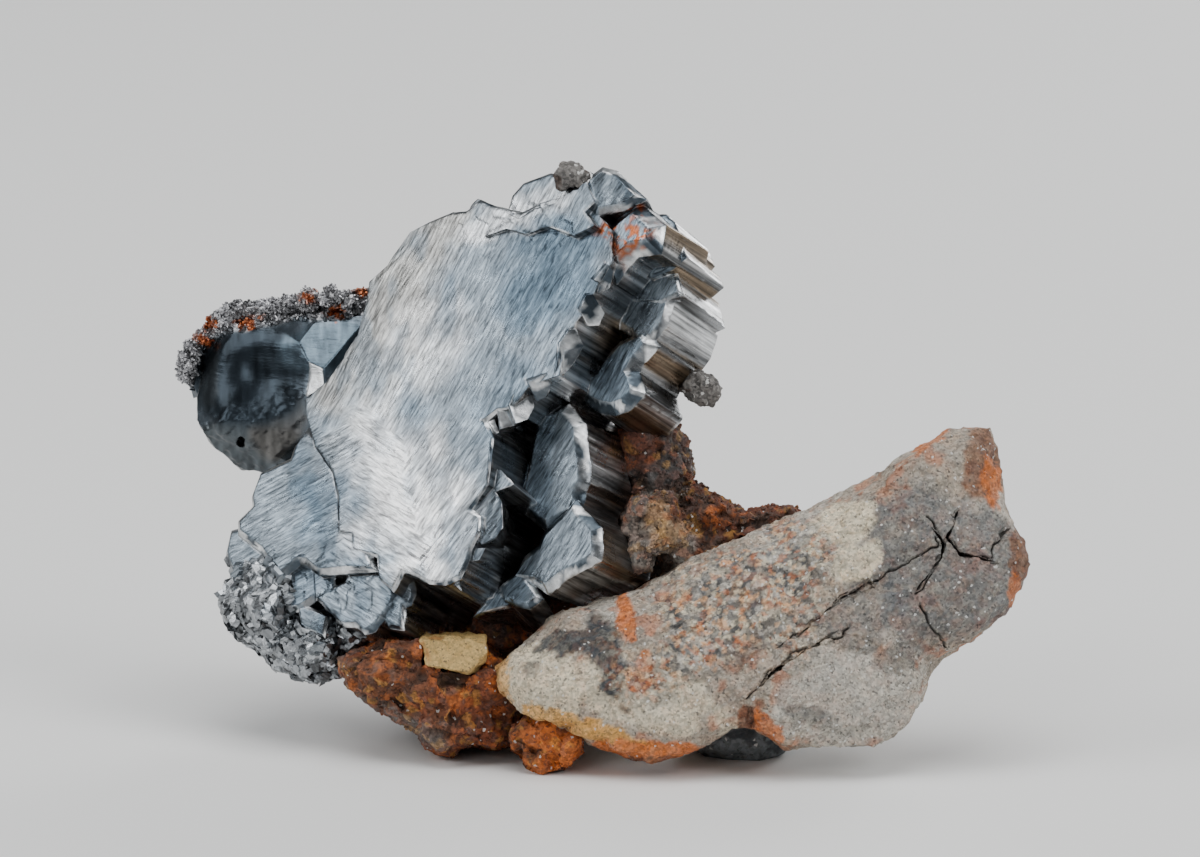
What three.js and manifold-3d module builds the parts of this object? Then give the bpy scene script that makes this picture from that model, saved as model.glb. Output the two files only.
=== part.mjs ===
// A bournonite specimen: a steel-grey cluster of twinned cogwheel crystals and one dark glassy crystal
// on rusty matrix, with a long shard of granular sandstone at the lower right. Millimetres, +Z up,
// resting on z = 0.
//
// The pieces are drawn in the front view: x to the right, y up and z towards the viewer. Outlines are
// what the viewer sees, and they are carried along the line of sight onto the faces they belong to.
import * as THREE from "three";
import { ConvexGeometry } from "three/addons/geometries/ConvexGeometry.js";
import { ImprovedNoise } from "three/addons/math/ImprovedNoise.js";
import { mergeVertices } from "three/addons/utils/BufferGeometryUtils.js";
import Module from "manifold-3d";

const wasm = await Module();
wasm.setup();

// Driving dimensions, in millimetres and degrees.
const VIEW_ELEVATION = 12; // the front view looks down on the specimen by this angle
const FLOOR_LEVEL = -1.0; // upright height of the floor in the front view
const FLOOR_SIZE = 200;
const CLEARANCE = 0.3; // gap between neighbouring pieces
const GROWTH_AT_CORNERS = 1.8; // a corner moves this much further than its faces when a block grows
const FACE_POINT = [-15, 36, -12]; // a point on the large feathered face
const CRYSTAL_LEAN = 35; // angle between the crystal axis and the line of sight
const CRYSTAL_RISE = 31; // the axis leans up to the left by this angle in the front view
const UPPER_STACK_RISE = 38;
const LOWER_STACK_RISE = 22;
const COG_PITCH = 2.5; // spacing of the ridges along the edges of a crystal
const COG_RELIEF = 0.24; // height of those ridges
const CROWN_SIZES = [0.9, 1.7]; // smallest and largest radius of the small crystals on the crown
const VERTEX_STEP = 1e-3; // corners closer than this are one corner
const LUMP_RIM = 0.12; // share of a lump's height that is its upright rim
const LUMP_SHOULDER = 2.6; // a larger value makes a lump flatter, with sharper shoulders
const LUMP_CROWN = 0.7; // share of a lump's half thickness that is its rounded crown
const SWELL_PITCH = 0.13; // slow swellings of a lump, per millimetre
const ROUGH_PITCH = 0.41; // quick bumps of a lump, per millimetre
const BREAK_NEAREST = 0.78; // share of a stone's radius at which its deepest broken face lies
const BREAK_SPREAD = 0.16; // the shallowest one lies this much further out
const BREAK_REACH = 0.4; // cosine of the angle from its middle at which a broken face ends
const GRAIN_PITCH = 3.1; // bumps of a stone, per radius
const CUT_SIZE = 120; // larger than the specimen, for cuts by a plane
const SEED = { plates: 10, cogs: 30, upperStack: 50, lowerStack: 60, lowerLeft: 70, crown: 90 };

const noise = new ImprovedNoise();

// Crystals of the cluster. sink: how far the top lies below the large face; length: along the crystal
// axis; bevel: width of the facets around the top; plain: without growth ridges.
const LARGE_FACE = {
  outline: [
    [-23.4, 48.4], [-23.3, 50.0], [-21.5, 51.5], [-20.0, 53.7], [-19.2, 54.8], [-17.2, 55.8],
    [-15.0, 56.7], [-13.5, 56.8], [-12.2, 57.9], [-10.8, 57.3], [-9.8, 57.1], [-8.0, 56.6],
    [-6.0, 57.6], [-3.4, 58.2], [-1.2, 60.4], [-0.1, 57.8], [-1.0, 56.8], [0.6, 55.0], [0.5, 53.3],
    [0.6, 52.2], [-0.6, 50.0], [-1.0, 48.9], [-2.1, 47.1], [-2.9, 46.1], [-4.0, 43.7], [-4.5, 40.8],
    [-7.3, 39.8], [-9.1, 37.5], [-10.3, 37.3], [-11.8, 36.0], [-11.0, 34.3], [-11.3, 31.5],
    [-11.5, 29.7], [-13.4, 27.0], [-12.3, 26.3], [-12.3, 25.0], [-13.2, 23.2], [-13.5, 22.0],
    [-14.2, 20.5], [-15.5, 19.9], [-17.0, 20.0], [-18.2, 20.7], [-19.8, 21.2], [-20.8, 19.3],
    [-22.0, 20.5], [-22.2, 22.6], [-24.7, 23.2], [-24.8, 24.8], [-26.2, 25.0], [-26.2, 28.5],
    [-26.8, 31.0], [-28.6, 33.6], [-29.5, 36.9], [-29.6, 38.1], [-27.6, 39.7], [-25.9, 41.9],
    [-24.3, 44.6], [-24.0, 46.0],
  ],
  sink: 0,
  length: 14,
  bevel: 0.35,
  plain: true,
};
// Broad facets of the large face: a point on each and how far it leans away from the face.
const FACE_FACETS = [
  { line: [[-16, 56], [-27.5, 35.5]], slope: 7 },
  { line: [[-12, 33], [-7.5, 58]], slope: 4 },
];
const FACE_PLATES = [
  // lower plate left of the growth line
  {
    outline: [
      [-27.6, 33.0], [-25.4, 31.0], [-25.2, 25.6], [-23.0, 21.4], [-28.3, 21.2], [-29.5, 22.2],
      [-30.5, 22.3], [-32.2, 21.0], [-34.0, 23.3], [-36.3, 25.0], [-36.3, 25.8], [-34.8, 27.3],
      [-34.9, 28.5], [-34.2, 30.4], [-33.0, 31.0], [-31.1, 31.9], [-30.6, 33.4], [-29.7, 34.6],
    ],
    sink: 0.6,
    length: 11,
    bevel: 0.7,
    lean: 38,
  },
  // plates on the top edge, behind the large face
  {
    outline: [
      [-9.3, 56.6], [-8.7, 58.5], [-7.7, 59.6], [-5.2, 60.5], [-2.7, 59.9], [-2.2, 58.4],
      [-4.5, 57.0], [-6.8, 56.0],
    ],
    sink: 0.8,
    length: 9,
    bevel: 0.4,
  },
  {
    outline: [
      [-13.7, 56.2], [-13.0, 57.6], [-12.3, 58.3], [-11.4, 57.9], [-11.2, 56.6], [-12.2, 55.8],
    ],
    sink: 0.9,
    length: 7,
    bevel: 0,
    lean: 28,
  },
  // raised layer along the upper right of the face
  {
    outline: [
      [-11.6, 54.4], [-10.6, 56.4], [-9.4, 56.8], [-8.2, 56.2], [-6.6, 57.2], [-4.6, 57.7],
      [-3.0, 58.8], [-1.4, 59.8], [-0.5, 57.8], [-1.5, 56.8], [-0.5, 55.4], [-2.6, 54.4],
      [-5.2, 55.4], [-7.4, 54.6], [-9.4, 55.2],
    ],
    sink: -0.4,
    length: 3,
    bevel: 0,
  },
];
const EDGE_COGS = [
  // bright crystal at the top right corner
  {
    outline: [[-1.0, 60.0], [0.2, 60.9], [1.4, 60.5], [3.6, 58.4], [2.0, 57.7], [-0.2, 57.3]],
    sink: 0.5,
    length: 8,
    bevel: 0.7,
    lean: 26,
    rise: 58,
  },
  // rust-spotted step under it
  {
    outline: [
      [3.1, 56.6], [4.8, 55.2], [4.6, 54.0], [2.8, 53.8], [1.5, 52.4], [1.0, 51.6], [0.2, 52.4],
      [0.2, 53.4], [0.9, 54.6], [1.8, 55.6],
    ],
    sink: 1.4,
    length: 10,
    bevel: 1.3,
  },
  {
    outline: [[-0.6, 50.0], [0.7, 51.6], [1.4, 50.9], [1.0, 49.1]],
    sink: 0.9,
    length: 8,
    bevel: 0,
    lean: 24,
    rise: 200,
  },
  {
    outline: [[-2.1, 47.1], [-1.4, 48.6], [-0.7, 48.6], [0.5, 46.7], [-0.1, 45.4], [-1.2, 45.4]],
    sink: 0.9,
    length: 8,
    bevel: 0,
    lean: 12,
    rise: 190,
  },
  {
    outline: [
      [-4.0, 43.7], [-3.1, 45.1], [-2.5, 45.1], [-1.6, 43.4], [-2.0, 42.6], [-3.5, 40.5],
      [-4.5, 40.5],
    ],
    sink: 0.8,
    length: 8,
    bevel: 0,
    lean: 14,
    rise: 170,
  },
  {
    outline: [[-7.3, 39.8], [-5.3, 40.6], [-4.8, 39.5], [-5.3, 38.3], [-6.3, 37.8]],
    sink: 0.8,
    length: 8,
    bevel: 0,
    lean: 18,
    rise: 250,
  },
  {
    outline: [[-8.2, 39.6], [-7.3, 39.6], [-6.5, 37.5], [-7.2, 36.0], [-8.4, 35.6], [-9.1, 37.5]],
    sink: 0.9,
    length: 8,
    bevel: 0,
    lean: 20,
    rise: 150,
  },
  {
    outline: [[-10.3, 37.3], [-9.2, 37.5], [-8.4, 35.5], [-10.0, 35.1]],
    sink: 0.7,
    length: 8,
    bevel: 0,
    lean: 10,
    rise: 110,
  },
  {
    outline: [[-11.8, 36.0], [-10.7, 36.5], [-10.1, 34.8], [-11.0, 34.3]],
    sink: 0.7,
    length: 8,
    bevel: 0,
    lean: 14,
    rise: 160,
  },
  {
    outline: [[-11.6, 31.0], [-9.9, 31.1], [-8.6, 29.6], [-10.6, 28.8]],
    sink: 1.4,
    length: 8,
    bevel: 0,
    rise: 40,
  },
  {
    outline: [
      [-11.5, 29.7], [-10.8, 29.3], [-9.8, 28.0], [-9.7, 25.3], [-10.3, 24.3], [-11.8, 23.5],
      [-12.2, 25.0], [-12.2, 26.7], [-13.0, 27.5],
    ],
    sink: 1.1,
    length: 9,
    bevel: 0,
    lean: 20,
    rise: 60,
  },
  {
    outline: [
      [-13.2, 23.2], [-11.3, 23.3], [-12.0, 22.0], [-13.4, 22.0], [-14.2, 20.5], [-13.8, 19.0],
      [-15.2, 20.0],
    ],
    sink: 0.9,
    length: 9,
    bevel: 0,
    lean: 28,
  },
];
const UPPER_STACK = [
  {
    outline: [
      [4.3, 56.1], [5.3, 56.4], [6.3, 56.3], [7.0, 55.7], [7.6, 54.3], [6.7, 53.3], [5.0, 54.2],
      [3.6, 53.4],
    ],
    sink: 5.4,
    length: 8,
    bevel: 0.4,
  },
  {
    outline: [
      [3.4, 52.8], [5.2, 53.6], [6.8, 53.2], [8.0, 53.1], [8.2, 52.4], [7.0, 51.4], [5.0, 50.6],
      [3.0, 51.4],
    ],
    sink: 6.1,
    length: 8.6,
    bevel: 0.35,
  },
  {
    outline: [
      [2.0, 51.2], [6.3, 51.8], [7.2, 51.0], [7.4, 50.1], [7.7, 48.9], [6.6, 48.4], [6.0, 48.0],
      [1.0, 48.6],
    ],
    sink: 6.9,
    length: 10,
    bevel: 0.4,
  },
  {
    outline: [
      [1.0, 49.2], [6.2, 49.0], [6.6, 48.0], [6.4, 47.3], [6.0, 46.0], [4.8, 44.5], [4.0, 44.2],
      [3.2, 45.2], [2.2, 45.8], [1.0, 46.2],
    ],
    sink: 6.9,
    length: 10.5,
    bevel: 0.7,
    lean: 34,
  },
  {
    outline: [
      [-1.7, 39.7], [-1.0, 38.5], [0.0, 38.0], [1.2, 37.8], [2.2, 38.2], [3.0, 39.1], [2.7, 40.2],
      [2.3, 40.9], [3.2, 42.5], [4.3, 43.7], [4.0, 44.3], [2.0, 43.4], [0.5, 41.8], [-0.2, 40.5],
    ],
    sink: 6.4,
    length: 9,
    bevel: 1.1,
    rise: 34,
  },
];
const LOWER_STACK = [
  {
    outline: [
      [-5.9, 36.2], [-4.0, 36.8], [-2.7, 35.3], [-2.6, 34.0], [-2.3, 31.7], [-2.3, 30.0],
      [-2.8, 29.3], [-2.8, 28.2], [-3.3, 27.2], [-5.5, 26.0], [-7.8, 27.7], [-7.5, 29.3],
      [-7.0, 31.0],
    ],
    sink: 6.2,
    length: 9,
    bevel: 1.0,
  },
  {
    outline: [
      [-8.5, 20.5], [-7.5, 22.0], [-6.0, 23.2], [-5.5, 24.5], [-4.0, 26.0], [-3.0, 27.2],
      [-2.5, 26.5], [-1.7, 25.8], [-1.0, 25.0], [-0.9, 23.5], [-1.0, 22.7], [-2.5, 21.8],
      [-4.0, 21.0], [-5.0, 20.2], [-5.5, 19.7], [-6.5, 20.4], [-8.0, 20.6],
    ],
    sink: 6.4,
    length: 10,
    bevel: 0.9,
  },
  {
    outline: [
      [-9.6, 19.4], [-8.7, 20.2], [-7.8, 20.5], [-7.0, 19.5], [-6.3, 18.4], [-7.2, 17.7],
      [-8.2, 17.9], [-9.2, 18.4],
    ],
    sink: 6.9,
    length: 8,
    bevel: 0.5,
    lean: 26,
    rise: 60,
  },
  {
    outline: [[-12.4, 16.6], [-10.8, 18.6], [-9.7, 18.9], [-8.9, 17.6]],
    sink: 6.8,
    length: 7,
    bevel: 0.4,
    lean: 20,
  },
];
const LOWER_LEFT_PLATES = [
  {
    outline: [
      [-28.2, 18.2], [-27.0, 19.0], [-25.5, 19.6], [-24.6, 21.6], [-22.5, 21.2], [-20.8, 18.6],
      [-21.2, 17.5], [-21.9, 16.5], [-22.9, 15.4], [-23.6, 15.2], [-24.3, 15.9], [-25.7, 15.8],
      [-26.7, 16.9],
    ],
    sink: 1.5,
    length: 9,
    bevel: 0.5,
  },
  {
    outline: [
      [-20.7, 19.0], [-20.0, 19.8], [-19.1, 19.9], [-18.9, 18.7], [-19.2, 17.8], [-19.8, 17.6],
      [-20.0, 15.5], [-21.1, 15.7], [-21.8, 16.5], [-21.0, 18.0],
    ],
    sink: 2.0,
    length: 8,
    bevel: 0.4,
    lean: 30,
  },
  {
    outline: [
      [-30.5, 22.3], [-28.8, 21.0], [-28.5, 18.7], [-30.3, 17.5], [-31.8, 17.3], [-33.0, 20.3],
    ],
    sink: 1.6,
    length: 8,
    bevel: 0.6,
    lean: 30,
    rise: 45,
  },
  {
    outline: [[-28.7, 21.2], [-27.0, 21.0], [-26.8, 18.8], [-28.5, 18.2]],
    sink: 1.7,
    length: 7,
    bevel: 0.3,
  },
  {
    outline: [
      [-30.2, 17.5], [-29.3, 17.0], [-27.5, 16.2], [-27.8, 14.5], [-29.3, 15.2], [-30.0, 15.5],
    ],
    sink: 2.2,
    length: 6,
    bevel: 0.3,
    lean: 22,
  },
  {
    outline: [
      [-37.2, 24.6], [-36.2, 24.9], [-34.0, 23.0], [-32.6, 21.2], [-33.8, 19.8], [-36.6, 20.2],
      [-37.6, 22.8],
    ],
    sink: 1.8,
    length: 9,
    bevel: 0.6,
    lean: 40,
  },
];
// Rough broken ends of the crystals at the lower left.
const BROKEN_ENDS = [
  { at: [-32.8, 17.4, -23], radii: [4.7, 4.5, 6], seed: 3, faces: 16, grain: 0.12, detail: 2 },
  { at: [-28.4, 13.6, -22], radii: [5.6, 3.4, 6], seed: 5, faces: 16, grain: 0.14, detail: 2 },
  { at: [-24.0, 14.6, -20], radii: [3.4, 2.6, 5], seed: 8, faces: 14, grain: 0.12, detail: 2 },
];

// The dark crystal: its outline, its facets (a point on each and the way it looks), the shell-shaped
// hollow and the pit in its front, and the crown of small crystals along its top.
const DARK_BLOCK = {
  outline: [
    [-40.3, 41.0], [-38.8, 44.2], [-37.0, 45.6], [-33.8, 46.4], [-25.9, 46.6], [-16.0, 46.4],
    [-15.0, 42.0], [-19.0, 36.0], [-26.0, 32.6], [-31.1, 31.9], [-34.0, 30.7], [-36.6, 31.1],
    [-39.0, 33.2], [-40.9, 36.0], [-40.9, 38.4],
  ],
  front: -22,
  back: -40,
};
const DARK_FACETS = [
  { point: [-29.0, 44.6, -24.6], facing: [0.04, 0.46, 0.89] },
  { point: [-30.3, 40.2, -23.2], facing: [-0.16, 0.06, 0.98] },
  { point: [-27.0, 41.6, -23.4], facing: [0.45, 0.1, 0.88] },
  { point: [-34.0, 36.2, -25.0], facing: [-0.22, -0.38, 0.9] },
  { point: [-38.6, 40.4, -27.6], facing: [-0.72, 0.16, 0.67] },
  { point: [-36.0, 44.4, -27.0], facing: [-0.3, 0.62, 0.72] },
  { point: [-36.0, 33.0, -27.4], facing: [-0.35, -0.68, 0.64] },
  { point: [-38.6, 37.0, -34.0], facing: [-0.72, -0.2, -0.66] },
  { point: [-33.0, 33.6, -34.0], facing: [0.1, -0.66, -0.74] },
  { point: [-32.0, 45.4, -34.0], facing: [-0.1, 0.72, -0.69] },
  { point: [-20.0, 40.0, -35.0], facing: [0.5, -0.1, -0.86] },
  { point: [-34.0, 40.0, -37.4], facing: [-0.2, 0.1, -0.97] },
];
const DARK_HOLLOW = {
  at: [-35.2, 41.4, -20.4],
  radii: [5.6, 6.0, 7.4],
  seed: 11,
  faces: 5,
  grain: 0.02,
  detail: 3,
};
const DARK_PIT = {
  at: [-36.3, 33.8, -26.8],
  radii: [0.55, 0.6, 1.8],
  seed: 12,
  faces: 6,
  grain: 0.05,
  detail: 1,
};
const CROWN_CORNERS = [
  [-42.2, 41.4, -32], [-41.4, 44.0, -31.4], [-39.6, 46.4, -30.6], [-36.4, 47.6, -29.8],
  [-32.0, 48.2, -28.6], [-27.0, 48.8, -27.2], [-19.0, 49.4, -28.0], [-19.0, 45.6, -27.4],
  [-27.0, 45.4, -26.2], [-34.0, 45.2, -28.0], [-38.6, 42.6, -29.8], [-40.8, 38.4, -31.6],
  [-41.4, 38.2, -33], [-38.0, 40.0, -37], [-34.0, 46.0, -36], [-19.0, 48.0, -33],
  [-19.0, 44.0, -33],
];
const CROWN_LINE = [
  [-41.4, 39.2, -31.8], [-41.2, 41.2, -31.2], [-40.6, 43.4, -30.6], [-39.2, 45.4, -30.0],
  [-37.2, 46.2, -29.6], [-34.8, 46.8, -28.6], [-32.0, 47.0, -27.8], [-29.0, 47.4, -27.0],
  [-26.4, 47.6, -26.4], [-24.4, 48.0, -26.0],
];
const CROWN_COUNT = 17;
const CROWN_SPREAD = 0.9; // how far the small crystals stray from that line

// The shard: its outline, broken faces, cracks and rusty notch.
const SHARD = {
  outline: [
    [-10.9, 11.0], [-10.2, 11.8], [-8.4, 13.4], [-6.6, 14.6], [-4.7, 16.3], [-2.0, 17.3],
    [0.3, 18.0], [3.0, 18.7], [5.3, 19.8], [8.7, 22.0], [12.0, 23.7], [14.7, 24.5], [16.3, 25.5],
    [19.3, 26.2], [23.0, 28.0], [25.0, 29.0], [27.0, 29.7], [28.7, 30.8], [30.3, 32.3],
    [31.7, 33.7], [33.3, 34.8], [34.3, 35.7], [35.3, 35.0], [36.7, 35.3], [38.0, 35.8],
    [39.3, 35.0], [39.8, 33.3], [40.3, 30.7], [41.0, 27.0], [41.7, 25.0], [42.7, 23.7],
    [43.5, 22.5], [42.7, 21.3], [42.0, 19.3], [41.3, 17.3], [40.0, 15.7], [38.0, 14.3],
    [36.0, 13.2], [34.3, 12.3], [32.7, 10.7], [32.0, 9.3], [31.7, 7.3], [30.3, 5.3], [29.0, 4.3],
    [27.5, 3.2], [25.7, 3.8], [24.0, 4.2], [20.7, 3.5], [18.0, 2.8], [17.0, 4.0], [15.3, 5.7],
    [13.3, 5.5], [11.3, 4.0], [8.7, 2.7], [5.3, 2.0], [2.7, 2.3], [0.7, 3.0], [-1.0, 3.7],
    [-4.0, 5.3], [-5.8, 6.0], [-8.4, 7.2], [-10.2, 8.2], [-10.8, 10.0],
  ],
  middle: [16, 14],
  stretch: [2.2, 24],
  lean: 0.3,
  thickness: 13.5,
  front: -5,
  swell: 0.5,
  rough: 0.22,
  detail: 6,
};
const SHARD_BREAKS = [
  { point: [-8.4, 10.0, -5.6], facing: [-0.62, 0.1, 0.78] },
  { point: [38.6, 31.0, -12.0], facing: [0.62, 0.3, 0.72] },
  { point: [40.6, 20.6, -8.6], facing: [0.72, 0.0, 0.7] },
  { point: [8.0, 3.4, -3.6], facing: [-0.04, -0.66, 0.75] },
  { point: [27.0, 5.2, -3.8], facing: [0.3, -0.56, 0.77] },
  { point: [10.0, 14.0, -14.0], facing: [-0.16, -0.2, -0.97] },
  { point: [30.0, 20.0, -15.6], facing: [0.14, -0.32, -0.94] },
];
const SHARD_CRACKS = [
  [[15.0, 8.3], [17.0, 10.7], [19.3, 12.3], [20.4, 13.0], [23.0, 14.6], [24.7, 15.5]],
  [[18.0, 13.2], [20.0, 14.7], [21.3, 16.0], [24.0, 18.0], [27.0, 20.0]],
  [[32.3, 26.3], [34.3, 23.7], [34.0, 22.3], [31.3, 18.8]],
  [[35.8, 27.0], [34.6, 24.2], [36.0, 22.6], [40.0, 21.7]],
];
const CRACK_WIDTH = 0.5;
const CRACK_DEPTH = 2.2;
const SHARD_NOTCH = {
  at: [15.0, 5.8, -2.6],
  radii: [1.3, 2.4, 3.2],
  seed: 21,
  faces: 8,
  grain: 0.06,
  detail: 1,
};

// The rusty matrix: the ragged front at the lower left, its orange foot, the lumps between the crystals
// and the shard, and the mass behind, all grown together.
const MATRIX_LUMPS = [
  // ragged front at the lower left
  {
    outline: [
      [-28.2, 10.7], [-27.0, 11.4], [-25.0, 13.0], [-22.0, 14.2], [-17.0, 14.0], [-12.0, 13.4],
      [-8.6, 11.0], [-6.6, 7.0], [-8.4, 3.9], [-9.8, 3.8], [-11.2, 3.2], [-12.6, 3.4], [-14.0, 3.0],
      [-14.5, 2.3], [-15.4, 1.9], [-16.6, 2.5], [-17.4, 3.2], [-17.8, 4.2], [-18.6, 5.0],
      [-20.2, 6.0], [-22.0, 6.8], [-22.6, 7.6], [-23.4, 8.6], [-25.8, 9.5],
    ],
    middle: [-16.4, 7.4],
    thickness: 13,
    detail: 4,
    front: -10.2,
    swell: 1.3,
    rough: 1.1,
  },
  // orange foot
  {
    outline: [
      [-9.4, 4.4], [-8.9, 3.0], [-8.2, 2.2], [-7.4, 1.0], [-6.4, 0.5], [-5.0, 0.7], [-3.6, 1.0],
      [-2.8, 2.0], [-1.6, 3.0], [-1.4, 5.2], [-3.6, 7.0], [-7.6, 6.8],
    ],
    middle: [-5.2, 3.8],
    thickness: 9,
    detail: 3,
    front: -6.4,
    swell: 0.6,
    rough: 0.9,
  },
  // upper grey lump
  {
    outline: [
      [1.2, 33.0], [2.2, 34.3], [4.0, 35.6], [5.5, 35.9], [7.0, 36.4], [8.0, 35.4], [8.2, 34.0],
      [9.0, 32.8], [9.5, 31.4], [9.0, 30.2], [8.0, 28.6], [5.0, 28.0], [2.6, 28.4],
    ],
    middle: [5.4, 32],
    thickness: 10,
    detail: 2,
    front: -16.6,
    swell: 0.8,
    rough: 1.0,
  },
  // lower grey lump
  {
    outline: [
      [1.8, 26.0], [2.8, 27.5], [4.0, 28.8], [5.5, 29.0], [6.8, 29.3], [7.8, 28.8], [9.0, 26.8],
      [9.2, 25.0], [9.0, 23.4], [6.6, 22.6], [5.6, 23.0], [5.2, 22.0], [5.5, 21.2], [4.0, 20.2],
      [3.2, 19.2], [2.2, 20.5], [2.2, 23.5],
    ],
    middle: [4.9, 25],
    thickness: 13,
    detail: 2,
    front: -10.6,
    swell: 0.6,
    rough: 1.0,
  },
  // gritty ridge behind the shard
  {
    outline: [
      [7.6, 28.4], [8.4, 29.0], [9.6, 29.4], [11.6, 28.4], [13.5, 27.5], [15.6, 26.2], [16.6, 26.0],
      [17.6, 26.9], [19.0, 27.3], [20.6, 27.5], [21.6, 27.1], [22.4, 26.0], [18.0, 22.4],
      [9.0, 20.0], [6.0, 22.0],
    ],
    middle: [12.6, 24.6],
    thickness: 10,
    detail: 2,
    front: -13.4,
    swell: 0.8,
    rough: 1.2,
  },
];
// Bit behind the grey lumps.
const MATRIX_LINK = {
  at: [7.4, 22.0, -24],
  radii: [6, 9, 7],
  seed: 45,
  faces: 10,
  grain: 0.12,
  detail: 1,
};
// Mass behind the crystals, and its broken faces.
const MATRIX_MASS = {
  at: [-3.4, 16.5, -29],
  radii: [17, 18, 11],
  seed: 37,
  faces: 11,
  grain: 0.1,
  detail: 3,
};
const MASS_BREAKS = [
  { point: [-3.0, 17.0, -37.0], facing: [0.15, 0.12, -0.98] },
  { point: [6.6, 18.0, -33.0], facing: [0.76, 0.1, -0.64] },
  { point: [-12.6, 12.0, -34.0], facing: [-0.62, -0.3, -0.72] },
  { point: [-4.0, 27.6, -33.0], facing: [0.12, 0.72, -0.68] },
  { point: [-13.6, 24.6, -30.0], facing: [-0.74, 0.6, -0.3] },
  { point: [9.4, 9.6, -29.0], facing: [0.78, -0.52, -0.34] },
];
const BLOCK_CORNERS = [
  [-17.9, 13.9, -9.8], [-16.6, 14.0, -9.4], [-14.4, 14.1, -9.0], [-11.4, 14.0, -8.6],
  [-11.2, 12.8, -8.2], [-12.8, 10.8, -8.4], [-15.0, 11.2, -8.8], [-17.4, 11.6, -9.4],
  [-17.4, 14.6, -15], [-11.6, 14.6, -14.4], [-12.2, 10.8, -14.2], [-17.0, 11.2, -15],
];
const SLATE = {
  at: [14.2, 4.4, -16.6],
  radii: [5.4, 3.3, 5.6],
  seed: 51,
  faces: 9,
  grain: 0.04,
  detail: 1,
};
const TOP_NUB = {
  at: [-2.9, 60.6, -13.4],
  radii: [1.9, 1.5, 1.9],
  seed: 61,
  faces: 12,
  grain: 0.14,
  detail: 1,
};
const SIDE_NUB = {
  at: [10.1, 39.2, -18.5],
  radii: [2.1, 1.9, 2.3],
  seed: 62,
  faces: 12,
  grain: 0.16,
  detail: 1,
};

// A closed solid from a three.js geometry.
function solid(geometry) {
  geometry.deleteAttribute("normal");
  geometry.deleteAttribute("uv");
  const welded = mergeVertices(geometry, VERTEX_STEP);
  const mesh = new wasm.Mesh({
    numProp: 3,
    vertProperties: new Float32Array(welded.attributes.position.array),
    triVerts: new Uint32Array(welded.index.array),
  });
  return new wasm.Manifold(mesh);
}

function join(solids) {
  return solids.reduce((whole, next) => whole.add(next));
}

// Unit directions of a crystal that leans from the line of sight.
function crystalAxes(lean, rise) {
  const tilt = THREE.MathUtils.degToRad(lean);
  const turn = THREE.MathUtils.degToRad(rise);
  const along = new THREE.Vector3(
    -Math.sin(tilt) * Math.cos(turn),
    Math.sin(tilt) * Math.sin(turn),
    Math.cos(tilt),
  );
  const across = new THREE.Vector3(0, 1, 0).cross(along).normalize();
  return { across, over: along.clone().cross(across), along };
}

// Depth of the plane through a point, seen at x, y in the front view.
function depthOnPlane(x, y, point, facing) {
  return point.z - ((x - point.x) * facing.x + (y - point.y) * facing.y) / facing.z;
}

const largeFaceAxes = crystalAxes(CRYSTAL_LEAN, CRYSTAL_RISE);
const largeFacePoint = new THREE.Vector3(...FACE_POINT);

// The point seen at x, y that lies the given distance under the large face.
function underLargeFace(x, y, sink) {
  const facing = largeFaceAxes.along;
  return new THREE.Vector3(x, y, depthOnPlane(x, y, largeFacePoint, facing) - sink / facing.z);
}

// Points along the edges of an outline, moved in and out a little, as growth ridges.
function ridged(points, seed) {
  THREE.MathUtils.seededRandom(seed);
  return points.flatMap((start, index) => {
    const end = points[(index + 1) % points.length];
    const edge = end.clone().sub(start);
    const steps = Math.floor(edge.length() / COG_PITCH);
    const outward = new THREE.Vector2(edge.y, -edge.x).normalize();
    const ridge = [start];
    for (let step = 1; step < steps; step += 1) {
      const offset = COG_RELIEF * (2 * THREE.MathUtils.seededRandom() - 1);
      ridge.push(start.clone().addScaledVector(edge, step / steps).addScaledVector(outward, offset));
    }
    return ridge;
  });
}

// A crystal: its seen top outline carried onto its own face and extruded back along its axis.
function crystal(spec, seed, grow = 0) {
  const { outline, sink, length, bevel, lean = CRYSTAL_LEAN, rise = CRYSTAL_RISE, plain } = spec;
  const axes = crystalAxes(lean, rise);
  const total = outline.reduce((sum, [x, y]) => [sum[0] + x, sum[1] + y], [0, 0]);
  const pin = underLargeFace(total[0] / outline.length, total[1] / outline.length, sink);
  const onFace = outline.map(([x, y]) => {
    const corner = new THREE.Vector3(x, y, depthOnPlane(x, y, pin, axes.along)).sub(pin);
    return new THREE.Vector2(corner.dot(axes.across), corner.dot(axes.over));
  });
  const shape = new THREE.Shape(plain || grow > 0 ? onFace : ridged(onFace, seed));
  const geometry = new THREE.ExtrudeGeometry(shape, {
    depth: length - bevel + 2 * grow,
    bevelEnabled: bevel + grow > 0,
    bevelThickness: bevel,
    bevelSize: bevel,
    bevelOffset: grow,
    bevelSegments: 1,
  });
  geometry.translate(0, 0, -length - grow);
  const place = new THREE.Matrix4().makeBasis(axes.across, axes.over, axes.along).setPosition(pin);
  return solid(geometry.applyMatrix4(place));
}

// The space in front of a facet that leans away from the large face along a line.
function inFrontOfFacet({ line, slope }) {
  const [start, end] = line.map(([x, y]) => underLargeFace(x, y, 0));
  const run = end.clone().sub(start).normalize();
  const facing = largeFaceAxes.along.clone().applyAxisAngle(run, THREE.MathUtils.degToRad(slope));
  return halfSpace({ point: start.toArray(), facing: facing.toArray() });
}

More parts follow.
